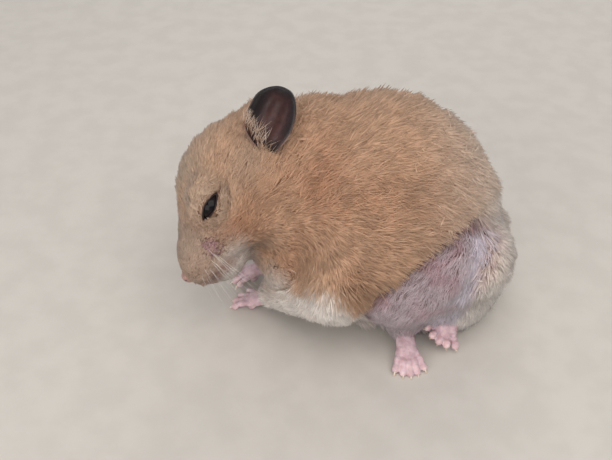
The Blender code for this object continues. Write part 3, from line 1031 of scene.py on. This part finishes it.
def sphere_points(axes, middle, angle, around, radius):
    """Points round a middle: radius * (sin A cos B * along + sin A sin B * across + cos A * out)."""
    own = np.stack((np.sin(angle) * np.cos(around), np.sin(angle) * np.sin(around), np.cos(angle)), -1)
    return middle + (own * radius[..., None] * MM) @ axes


def lid_height(out, edge):
    """Height of the lids over the eye's middle, in mm: a smooth bell down to the head, with fine folds."""
    folds = 0.09 * np.sin((out - edge) * 5.5) * ramp(0.3, 0.7, out - edge) * ramp(3.2, 1.6, out - edge)
    return -2.2 + 6.2 * bell(out / 5.2) + folds


def set_round_eyes(points):
    """Raises the skin to the lids' bell round each eye, and sinks it under the eyeball in the opening."""
    for _, side in SIDES:
        a, b, c = in_eye(points, side)
        away, edge = np.hypot(a, b), opening_radius(np.arctan2(b, a))
        under = np.sqrt(np.maximum((EYE_RADIUS - 0.3) ** 2 - away**2, 0))
        form = mix(lid_height(away, edge) - 0.1, under, ramp(1.25, 0.95, away / edge))
        share = ramp(EYE_FORM, 4.2, away) * (c > -4)
        points = points + ((form - c) * share * MM)[:, None] * eye_place(side)[0][2]
    return points


def from_nearest_eye(points):
    """Distance in mm from the edge of the nearer eye's opening, and the way that leads from it."""
    away, way = np.full(len(points), FAR), np.zeros_like(points)
    for _, side in SIDES:
        a, b, c = in_eye(points, side)
        around = np.arctan2(b, a)
        own = np.where(np.abs(c) < 6, np.hypot(a, b) - opening_radius(around) + 2, FAR)
        lead = unit(np.stack((np.cos(around) * 0.5, np.sin(around), 0 * a), 1)) @ eye_place(side)[0]
        way = np.where((own < away)[:, None], lead, way)
        away = np.minimum(away, own)
    return away, way


def make_eye(side_name, side):
    """The eyeball, with the cornea standing a little proud of it, and the lids, half closed over it.

    The lids are rings round the opening's edge: down into the eye, over the rim and out along the bell.
    """
    axes, middle = eye_place(side)
    angle, around = np.meshgrid(np.linspace(0, pi, EYE_ROWS), turns(EYE_COLUMNS), indexing="ij")
    radius = EYE_RADIUS * (0.985 + 0.03 * bell(angle / 0.7))
    points = sphere_points(axes, middle, angle, around, radius)
    eye = put_mesh(f"eyeball_{side_name}", points.reshape(-1, 3), sheet_faces(EYE_ROWS, EYE_COLUMNS))
    face_outwards(eye)
    finished(eye, eye_material(), ["eye_" + side_name])

    around = turns(LID_SIDES)
    edge = opening_radius(around)
    out, heights = [], []
    for offset, share in LID_RIM:
        out.append(edge + offset)
        low = np.sqrt(np.maximum((EYE_RADIUS + 0.03) ** 2 - out[-1] ** 2, 0.2))
        heights.append(mix(low, lid_height(out[-1], edge), share))
    for share in np.linspace(0, 1, 12)[1:]:
        out.append(edge + mix(LID_RIM[-1][0], LID_REACH, share))
        heights.append(lid_height(out[-1], edge) - 0.3 * share**2)
    out, heights = np.array(out), np.array(heights)
    points = middle + np.stack((out * np.cos(around), out * np.sin(around), heights), -1) * MM @ axes
    # The last ring joins the first under the bell, so that the lids are one closed ring
    here = np.arange(LID_SIDES)
    after, last = np.roll(here, -1), (len(out) - 1) * LID_SIDES
    ends = np.stack((here + last, after + last, after, here), 1)
    faces = np.concatenate((sheet_faces(len(out), LID_SIDES), ends))
    lids = put_mesh(f"lids_{side_name}", points.reshape(-1, 3), faces)
    face_outwards(lids)
    points = points_of(lids.data)
    marks = markings(points)
    a, b, _ = in_eye(points, side)
    rim = ramp(1.5, 1.2, opening_share(a, b))
    set_numbers(lids, lids=rim, **{name: marks[name] for name in SKIN_MARKS})
    finished(lids, skin_material())


def make_eyes():
    for side_name, side in SIDES:
        make_eye(side_name, side)


# Ears, in mm on the head's axes

EAR_ROOT = np.array((-7.2, 16.9, -4.3))
EAR_UP = unit(np.array((-0.86, 0.45, 0.24)))
EAR_OUT = np.array((0.25, 0.93, 0.26))
EAR_LENGTH = 16.3
EAR_WIDTH = 13.5
EAR_CUP = 3.8
EAR_STEM = 2.0
EAR_WALL = 0.5
EAR_WIDEST = 0.5
EAR_ROOT_WIDTH = 0.25
EAR_ROWS, EAR_COLUMNS = 44, 41
EAR_HAIRS = 200


def ear_axes(side):
    """The ear's own axes in the world: up it, across it to the back, and out of its hollow; and its root."""
    mirror = np.array((1, side, 1))
    out = unit(EAR_OUT - EAR_UP * (EAR_OUT @ EAR_UP))
    across = np.cross(EAR_UP, out)
    return np.array((EAR_UP, across, out)) * mirror @ HEAD_AXES, from_head(EAR_ROOT * mirror)


def ear_outline(rise):
    """Half of the ear's width at each share of its length: a narrow root, then a round top."""
    root = mix(EAR_ROOT_WIDTH, 1.0, np.sin(np.clip(rise / EAR_WIDEST, 0, 1) * pi / 2))
    top = np.clip(1 - ((rise - EAR_WIDEST) / (1 - EAR_WIDEST)) ** 2, 0, 1) ** 0.54
    return EAR_WIDTH / 2 * np.where(rise < EAR_WIDEST, root, top)


def ear_edge(rise, across, power):
    """1 at the ear's edge and 0 in its middle, from the shares of its half width and of its round top."""
    return np.maximum(np.abs(across), np.clip((rise - EAR_WIDEST) / (1 - EAR_WIDEST), 0, 1) ** power)


def ear_surface(rise, across):
    """Points of the ear's inner face, in mm on its own axes, from its shares of length and half width.

    The dish is cup * (1 - s^2) deep. Its edge turns over towards the hollow, its front edge most, and two
    ridges run up inside it.
    """
    edge = ear_edge(rise, across, 3)
    depth = EAR_CUP * (1 - edge**2) * ramp(0.0, 0.55, rise) * ramp(1.25, 0.7, rise)
    depth = depth + 2.5 * ramp(0.3, -0.1, rise)
    turned = ramp(0.8, 1.0, edge)
    front = ramp(0.0, -1.0, across) * ramp(0.98, 0.7, rise)
    half = ear_outline(np.clip(rise, 0, 1))
    s = across * (1 - 0.08 * turned - 0.18 * front * ramp(0.1, 0.5, rise) * ramp(1.0, 0.6, rise))
    ridges = 0.55 * bell((across + 0.35) / 0.12) + 0.4 * bell((across - 0.3) / 0.14)
    ridges *= ramp(0.05, 0.3, rise) * ramp(0.95, 0.6, rise)
    out = -depth + ridges + 0.9 * turned * (0.4 + front)
    lean = -4.6 * rise + 5.4 * rise**2
    return np.stack((rise * EAR_LENGTH, s * half + lean, out), -1)


def make_ear(side_name, side):
    """An ear: its dish as a sheet with a wall behind it, and a stem that goes down into the coat."""
    axes, root = ear_axes(side)
    stem = np.linspace(-EAR_STEM / EAR_LENGTH, 0, 5)[:-1]
    blade = np.sin((1 - np.cos(np.linspace(0, pi / 2, EAR_ROWS))) * pi / 2)
    widths = np.sin(np.linspace(-pi / 2, pi / 2, EAR_COLUMNS))
    rise, across = np.meshgrid(np.concatenate((stem, blade)), widths, indexing="ij")
    inner = ear_surface(rise, across).reshape(-1, 3)
    faces = sheet_faces(*rise.shape, closed_columns=False)
    normals = normals_of(inner, np.concatenate((faces[:, :3], faces[:, (0, 2, 3)])))
    wall = EAR_WALL * mix(1.6, 1.0, ramp(0.0, 0.5, rise.ravel()))
    outer = inner - normals * np.sign(normals[:, 2:3].mean()) * wall[:, None]
    count = len(inner)
    number = np.arange(count).reshape(rise.shape)
    border = np.concatenate((number[0], number[1:, -1], number[-1, -2::-1], number[-2:0:-1, 0]))
    after = np.roll(border, -1)
    sides = np.stack((border, after, after + count, border + count), 1)
    points = root + np.concatenate((inner, outer)) * MM @ axes
    ear = put_mesh(f"ear_shell_{side_name}", points, np.concatenate((faces, faces[:, ::-1] + count, sides)))
    edge = ear_edge(rise, across, 2).ravel()
    inside = np.repeat((1.0, 0.0), count)
    set_numbers(ear, rise=np.tile(rise.ravel(), 2), edge=np.tile(edge, 2), inside=inside)
    face_outwards(ear)
    finished(ear, ear_material(), ["ear_" + side_name])


def make_ear_hair(side_name, side):
    """Pale hairs that rise from in front of the ear and cross its hollow: wedges like the coat's tufts."""
    draw = np.random.default_rng(21)
    axes, root = ear_axes(side)
    rise = draw.uniform(-0.04, 0.5, EAR_HAIRS)
    across = -1.04 + 1.5 * draw.uniform(0, 1, EAR_HAIRS) ** 2 * ramp(0.3, 0.0, rise)
    foot = ear_surface(rise, across)
    foot[:, 2] += draw.uniform(-1.2, 0.6, EAR_HAIRS)
    way = [draw.normal(mean, spread, EAR_HAIRS) for mean, spread in ((1.0, 0.25), (0.4, 0.4), (0.25, 0.15))]
    roots, flow = root + foot * MM @ axes, unit(np.stack(way, 1)) @ axes
    normals = np.broadcast_to(axes[2], roots.shape)
    normals = unit(normals - flow * np.sum(normals * flow, 1)[:, None])
    length = draw.uniform(2.0, 6.5, EAR_HAIRS) * mix(1.0, 0.5, ramp(0.15, 0.5, rise)) * MM
    width = draw.uniform(0.03, 0.06, EAR_HAIRS) * MM
    bend = normals * (length * 0.12)[:, None]
    belly = roots + flow * (TUFT_BELLY * length)[:, None] + bend
    tips = roots + flow * length[:, None] + bend * 0.8
    aside = np.cross(normals, flow) * (width / 2)[:, None]
    corners = np.stack((roots, belly - aside, belly + aside, tips), 1)
    numbers = {name: np.zeros(EAR_HAIRS) for name in HAIR_MARKS}
    numbers["pale"] = draw.uniform(0.1, 0.6, EAR_HAIRS)
    numbers["tone"] = draw.uniform(-0.2, 0.5, EAR_HAIRS)
    put_tufts("ear_hair_" + side_name, corners, normals, roots, numbers)


def make_ears():
    for side_name, side in SIDES:
        make_ear(side_name, side)
        make_ear_hair(side_name, side)


# Nose

NOSE_SIZE = (1.4, 2.4, 1.8)
NOSE_ROWS, NOSE_COLUMNS = 49, 64


def make_nose():
    """The nose: an ellipsoid with two comma-shaped nostrils and the groove between them let into it.

    Each point lies at size * (1 - 0.3 pits - 0.12 groove), with both as bells of the distance from them.
    """
    angle, around = np.meshgrid(np.linspace(0, pi, NOSE_ROWS), turns(NOSE_COLUMNS), indexing="ij")
    ahead, across, up = np.cos(angle), np.sin(angle) * np.cos(around), np.sin(angle) * np.sin(around)
    pits = 0
    for _, side in SIDES:
        tilt = up + 0.12 + 0.35 * (side * across - 0.5)
        pits = pits + bell((across - side * 0.5) / 0.17, tilt / 0.16)
    groove = bell(across / 0.07) * ramp(0.25, -0.2, up)
    size = 1 - (0.3 * pits + 0.12 * groove) * (ahead > 0)
    own = np.stack((ahead, across, up), -1) * NOSE_SIZE * size[..., None] - (0.9, 0, 0) + NOSE_AT
    nose = put_mesh("nose_pad", from_head(own.reshape(-1, 3)), sheet_faces(NOSE_ROWS, NOSE_COLUMNS))
    # deep: where the nostrils and their groove are painted dark, as painted shade
    set_numbers(nose, deep=np.clip(pits + 0.5 * groove, 0, 1).ravel())
    face_outwards(nose)
    finished(nose, nose_material(), ["nose"])


# Paws, in mm on the world's axes

# Wrist, ball, tip of the middle digits, the way across, radius, digits, their thickness, the width over
# them, and 1 where the back of the paw is uppermost or -1 where its sole is
PAWS = {
    "forepaw_left": ((-20, -6, 7), (-25.5, -2.5, 3), (-30.5, 0.5, 0.6), (0.5, 0.85, 0), 2.8, 4, 1.05, 7.5, 1),
    "forepaw_right": ((-20, 11, 5), (-26.5, 9.8, 2.8), (-32, 9, 0.6), (0.1, 1, 0), 2.8, 4, 1.05, 7.5, 1),
    "hindfoot_left": (
        (31, -11.5, 11), (26.6, -16, 5.5), (24.3, -20, 4), (-0.69, 0.49, 0.53), 3.0, 5, 1.3, 9.0, -1,
    ),
    "hindfoot_right": (
        (15, -17, 6), (15.6, -23, 3), (16.2, -28.5, 0.7), (-0.97, -0.2, 0), 2.8, 5, 1.2, 7.5, 1,
    ),
}
PAW_VOXEL = 0.2 * MM
PALM_FLAT = 0.72
CLAW_RADIUS = 0.34
PAD_RADIUS = 0.85


def joined(parts):
    """Several (points, faces) as one."""
    points, faces, count = [], [], 0
    for own, own_faces in parts:
        points.append(own)
        faces.append(own_faces + count)
        count += len(own)
    return np.concatenate(points), np.concatenate(faces)


def capped_tube(path, radii, sides=16, flat=1.0, across=None):
    """A tube whose ends close in half circles."""
    path, radii = np.asarray(path, float), np.asarray(radii, float)
    first, last = unit(path[0] - path[1]), unit(path[-1] - path[-2])
    bend = np.linspace(0, pi / 2, 6)[1:]
    head = path[0] + first * radii[0] * np.sin(bend)[::-1, None]
    foot = path[-1] + last * radii[-1] * np.sin(bend)[:, None]
    ends = np.maximum(np.cos(bend), 0.02)
    radii = np.concatenate((radii[0] * ends[::-1], radii, radii[-1] * ends))
    return tube(np.concatenate((head, path, foot)), radii, sides, flat, across)


def bezier(points, count):
    """A Bezier curve: a path from its first to its last point, drawn towards those between."""
    share = np.linspace(0, 1, count)[:, None]
    rows = list(np.asarray(points, float))
    while len(rows) > 1:
        rows = [mix(a, b, share) for a, b in zip(rows, rows[1:])]
    return rows[0]


def make_paw(name, wrist, ball, tip, across, radius, digits, thickness, width, turn):
    """A paw: palm, digits with their knuckles and pads joined by a fine remesh, and a claw on every digit.

    Each part is a tube along a curve: a digit swells at its two knuckles, and a claw tapers as a root does.
    """
    wrist, ball, tip, across = (np.asarray(v, float) for v in (wrist, ball, tip, across))
    across, along = unit(across), unit(tip - ball)
    across = unit(across - along * (across @ along))
    above = np.cross(across, along) * turn
    palm = bezier((wrist, (wrist + ball) / 2 + above * 0.4, ball), 9)
    parts = [capped_tube(palm, np.linspace(radius * 0.82, radius, 9), 24, PALM_FLAT, across)]
    claws = []
    for place in np.linspace(-1, 1, digits):
        base = ball + across * place * radius * 0.75
        end = tip + across * place * width / 2 - along * 1.5 * place**2
        knuckle = (base + end) / 2 + above * 0.55
        path = bezier((base, knuckle, knuckle, end), 13)
        swell = 1 + 0.12 * np.cos(np.linspace(0, 1, 13) * 4 * pi) - 0.12 * np.linspace(0, 1, 13)
        parts.append(capped_tube(path, thickness * 0.82 * swell, 14))
        under = (end - along * 0.5 - above * 0.3, end - above * 0.32)
        parts.append(capped_tube(under, (0.68 * thickness,) * 2, 12))
        reach = unit(path[-1] - path[-3])
        steps = ((thickness * 0.3, 0.25), (1.3, 0.3), (1.9, -0.45))
        claw = bezier([end + reach * ahead + above * up for ahead, up in steps], 9)
        claws.append(tube(claw, CLAW_RADIUS * np.sqrt(np.linspace(1, 0.003, 9)), 10))
    for place in (-0.55, 0.0, 0.55):
        pad = ball + across * place * radius * 1.1 - above * radius * 0.42 + along * 0.3
        parts.append(capped_tube((pad - along * 0.35, pad + along * 0.35), (PAD_RADIUS,) * 2, 12))
    points, faces = joined(parts)
    rough = put_mesh("rough", points * MM, faces)
    face_outwards(rough)
    mesh = remeshed(rough, PAW_VOXEL)
    points = eased(points_of(mesh), edges_of(mesh), 0.5, 3)
    points[:, 2] = np.maximum(points[:, 2], 0.05 * MM)
    paw = put_moved(name + "_skin", mesh, points)
    set_numbers(paw, tips=ramp(1.5, np.linalg.norm(tip - ball), (points / MM - ball) @ along))
    finished(paw, paw_material(), [name])
    points, faces = joined(claws)
    points[:, 2] = np.maximum(points[:, 2], 0.05)
    claw = put_mesh(name + "_claws", points * MM, faces)
    face_outwards(claw)
    finished(claw, claw_material())


def make_paws():
    for name, sizes in PAWS.items():
        make_paw(name, *sizes)


# Whiskers

WHISKER_ROWS, WHISKERS_IN_A_ROW = 3, 4


def make_whisker(draw, row, place, side):
    """One whisker: a tapered tube along a Bezier curve, on the head's axes until it is laid in the world."""
    root = (24.0 - place * 1.6, 5.6 + place * 0.95, -3.6 - row * 1.2 + place * 0.1)
    length = (7 + 2.6 * place) * draw.uniform(0.8, 1.15)
    out = unit(np.array((0.75 - 0.2 * place, 0.8, -0.75 - 0.16 * row)) + draw.normal(size=3) * 0.1)
    droop = np.array((0.1, -0.1, -0.45)) + draw.normal(size=3) * 0.1
    root, out, droop = (np.multiply(v, (1, side, 1)) for v in (root, out, droop))
    path = from_head(bezier((root, root + out * length * 0.45, root + (out + droop) * length), 15))
    path[:, 2] = np.maximum(path[:, 2], 0.3 * MM)
    return tube(path, np.linspace(0.05, 0.008, 15) * MM, 5)


def make_whiskers():
    """Whiskers in rows on both pads, which sweep out, back and down in long curves."""
    draw = np.random.default_rng(5)
    for side_name, side in SIDES:
        places = [(row, place) for row in range(WHISKER_ROWS) for place in range(WHISKERS_IN_A_ROW)]
        points, faces = joined([make_whisker(draw, row, place, side) for row, place in places])
        whiskers = put_mesh("whiskers_" + side_name, points, faces)
        finished(whiskers, whisker_material())


# Stage

LENS = 50
SENSOR = 36
VIEW_WIDTH = 0.1632
CAMERA_RISE = radians(38)
CAMERA_TARGET = (-0.01093, -0.00082, 0.02645)
FLOOR_REACH = 6.0
LIGHT_TARGET = (0, 0, 0.03)
LIGHT_COLOUR = (1.0, 0.97, 0.93)
SKY_COLOUR = "#F2F4F8"
SKY_STRENGTH = 0.55
# Each light's name, place, power in watts and size
LIGHTS = (
    ("key", (0.1, -0.35, 0.6), 2.6, 0.6),
    ("fill", (-0.35, -0.6, 0.22), 2.4, 0.6),
    ("back", (0.1, 0.6, 0.4), 1.0, 0.5),
)


def aim(obj, place, target):
    obj.location = place
    obj.rotation_euler = (Vector(target) - Vector(place)).to_track_quat("-Z", "Y").to_euler()


def make_camera():
    """The camera: level, above the animal's left side, looking down at it."""
    camera = bpy.data.cameras.new("camera")
    camera.lens = LENS
    camera.sensor_width = SENSOR
    camera.clip_start = 0.01
    viewer = put_object("camera", camera)
    target = Vector(CAMERA_TARGET)
    back = Vector((0, -cos(CAMERA_RISE), sin(CAMERA_RISE)))
    distance = VIEW_WIDTH * LENS / SENSOR
    aim(viewer, target + back * distance, target)
    bpy.context.scene.camera = viewer


def make_stage():
    """A plain pale floor, one large soft light above, weaker ones beside and behind, and a pale sky."""
    corners = np.array(((-1, -1, 0), (1, -1, 0), (1, 1, 0), (-1, 1, 0))) * FLOOR_REACH
    floor = put_mesh("floor", corners, np.array(((0, 1, 2, 3),)))
    floor.data.materials.append(board_material())
    floor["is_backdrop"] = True
    for name, place, power, size in LIGHTS:
        light = bpy.data.lights.new(name, "AREA")
        light.energy = power
        light.size = size
        light.color = LIGHT_COLOUR
        aim(put_object(name, light), place, LIGHT_TARGET)
    world = bpy.data.worlds.new("studio")
    bpy.context.scene.world = world
    world.use_nodes = True
    sky = {"Color": rgba(linear(SKY_COLOUR)), "Strength": SKY_STRENGTH}
    set_inputs(world.node_tree, world.node_tree.nodes["Background"], sky)
    bpy.context.scene.view_settings.view_transform = "Standard"


# Add-on


def hair_colour(name, description, hex_colour):
    return FloatVectorProperty(
        name=name, description=description, subtype="COLOR", size=3, min=0, max=1, default=linear(hex_colour)
    )


def tuft_count(name, default):
    return FloatProperty(name=name, description="Tufts for each square metre", default=default)


def length_in_mm(name, description, default):
    return FloatProperty(name=name, description=description, default=default * MM, min=0, unit="LENGTH")


class HamsterSizes(bpy.types.PropertyGroup):
    """Sizes of the skin and the coat."""

    growth: length_in_mm("Growth", "How far the solids grow to close the cuts between them", 0.5)
    skin_voxel: length_in_mm("Skin voxel", "Grid of the skin's remesh", 0.6)
    body_depth: length_in_mm("Body depth", "Depth of the coat over the body", 4.6)
    head_depth: length_in_mm("Head depth", "Depth of the coat over the head", 2.6)
    muzzle_depth: length_in_mm("Muzzle depth", "Depth of the coat on the muzzle", 0.9)
    thigh_depth: length_in_mm("Thigh depth", "Depth of the thin hair inside the thigh", 1.6)
    body_tufts: tuft_count("Body tufts", 23e6)
    head_tufts: tuft_count("Head tufts", 22e6)
    muzzle_tufts: tuft_count("Muzzle tufts", 45e6)
    thigh_tufts: tuft_count("Thigh tufts", 10e6)


class HamsterColours(bpy.types.PropertyGroup):
    """Colours of hair and skin."""

    gold: hair_colour("Gold", "Hair of the back and flanks", "#C39E82")
    # Painted light: the haunch's paler hair stands for light falling on it from behind
    lit_haunch: hair_colour("Haunch", "Hair of the haunch", "#EDD8C6")
    rump: hair_colour("Rump", "Hair of the rump's edge", "#DFD3CA")
    cheek: hair_colour("Cheek", "Hair of cheek, neck and chest", "#AC7F62")
    forehead: hair_colour("Forehead", "Hair of the forehead", "#B7A28F")
    muzzle: hair_colour("Muzzle", "Hair of the muzzle", "#AA9586")
    cream: hair_colour("Cream", "Hair of chest, belly and jaw", "#EBE3DC")
    lips: hair_colour("Lips", "Short hair of the lips", "#A27C70")
    thigh: hair_colour("Thigh", "Hair inside the thigh", "#B8A8AD")
    # Partly painted light: this pale hair reaches down to the ankle, where it lightens what lies in shade
    ridge: hair_colour("Ridge", "Hair along the thigh's ridge", "#DCD5E0")
    fold: hair_colour("Fold", "Hair in the shade of the flank's fold", "#7C5D53")
    flush: hair_colour("Flush", "Hair where the thigh's pink skin shows through", "#B58A90")
    under: hair_colour("Under", "What the roots of the hair are darkened by", "#9A7460")
    lilac: hair_colour("Lilac", "Skin inside the thigh", "#8C7076")
    pad: hair_colour("Pad", "Bare pad of the whiskers", "#9C7A84")
    lid: hair_colour("Lid", "Skin of the eyelids", "#2E2220")
    nose: hair_colour("Nose", "Skin of the nose", "#A07E76")
    paw: hair_colour("Paw", "Skin of the paws", "#CBB0B5")
    toe: hair_colour("Toe", "Skin of the toes' tips", "#DCC0C3")
    ear_rim: hair_colour("Ear rim", "Thin skin of the ear's rim", "#242023")
    ear_hollow: hair_colour("Ear hollow", "Skin near the edge of the ear's hollow", "#271E21")
    ear_red: hair_colour("Ear red", "Skin in the ear's hollow", "#432A28")
    # Painted shade low in the ear's hollow
    ear_low_shade: hair_colour("Ear low", "Skin low in the ear", "#1E1315")
    ear_back: hair_colour("Ear back", "Skin of the back of the ear", "#8E7468")
    # Painted shade: this near black red-brown is laid in the mouth's crease and the nose's pits
    mouth: hair_colour("Mouth", "Inside of the mouth's fold", "#3A1A18")


class HAMSTER_OT_skin(bpy.types.Operator):
    """Make the skin"""

    bl_idname = "hamster.skin"
    bl_label = "Skin"

    def execute(self, context):
        make_skin()
        return {"FINISHED"}


class HAMSTER_OT_eyes(bpy.types.Operator):
    """Make the eyeballs and their lids"""

    bl_idname = "hamster.eyes"
    bl_label = "Eyes"

    def execute(self, context):
        make_eyes()
        return {"FINISHED"}


class HAMSTER_OT_ears(bpy.types.Operator):
    """Make the ears"""

    bl_idname = "hamster.ears"
    bl_label = "Ears"

    def execute(self, context):
        make_ears()
        return {"FINISHED"}


class HAMSTER_OT_nose(bpy.types.Operator):
    """Make the nose"""

    bl_idname = "hamster.nose"
    bl_label = "Nose"

    def execute(self, context):
        make_nose()
        return {"FINISHED"}


class HAMSTER_OT_paws(bpy.types.Operator):
    """Make the paws and their claws"""

    bl_idname = "hamster.paws"
    bl_label = "Paws"

    def execute(self, context):
        make_paws()
        return {"FINISHED"}


class HAMSTER_OT_whiskers(bpy.types.Operator):
    """Make the whiskers"""

    bl_idname = "hamster.whiskers"
    bl_label = "Whiskers"

    def execute(self, context):
        make_whiskers()
        return {"FINISHED"}


class HAMSTER_OT_coat(bpy.types.Operator):
    """Make the coat over the skin"""

    bl_idname = "hamster.coat"
    bl_label = "Coat"

    def execute(self, context):
        make_coat()
        return {"FINISHED"}


class HAMSTER_OT_stage(bpy.types.Operator):
    """Make the floor, the lights and the camera"""

    bl_idname = "hamster.stage"
    bl_label = "Stage"

    def execute(self, context):
        make_camera()
        make_stage()
        return {"FINISHED"}


OPERATORS = (
    HAMSTER_OT_skin,
    HAMSTER_OT_eyes,
    HAMSTER_OT_ears,
    HAMSTER_OT_nose,
    HAMSTER_OT_paws,
    HAMSTER_OT_whiskers,
    HAMSTER_OT_coat,
    HAMSTER_OT_stage,
)


class HAMSTER_PT_panel(bpy.types.Panel):
    """The sizes and colours, and a button for each piece"""

    bl_label = "Hamster"
    bl_space_type = "VIEW_3D"
    bl_region_type = "UI"
    bl_category = "Hamster"

    def draw(self, context):
        for group in (context.scene.hamster_sizes, context.scene.hamster_colours):
            for name in group.bl_rna.properties.keys()[1:]:
                self.layout.prop(group, name)
        for operator in OPERATORS:
            self.layout.operator(operator.bl_idname)


CLASSES = (HamsterSizes, HamsterColours, *OPERATORS, HAMSTER_PT_panel)


def register():
    for cls in CLASSES:
        bpy.utils.register_class(cls)
    bpy.types.Scene.hamster_sizes = PointerProperty(type=HamsterSizes)
    bpy.types.Scene.hamster_colours = PointerProperty(type=HamsterColours)


def unregister():
    del bpy.types.Scene.hamster_sizes
    del bpy.types.Scene.hamster_colours
    for cls in reversed(CLASSES):
        bpy.utils.unregister_class(cls)


def main():
    register()
    bpy.ops.hamster.skin()
    bpy.ops.hamster.eyes()
    bpy.ops.hamster.ears()
    bpy.ops.hamster.nose()
    bpy.ops.hamster.paws()
    bpy.ops.hamster.whiskers()
    bpy.ops.hamster.coat()
    bpy.ops.hamster.stage()
    boxes = {"cad": CAD_BOUNDS, "visual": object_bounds()}
    {name: [list(corner) for corner in box] for name, box in boxes.items()}


if __name__ == "__main__":
    main()
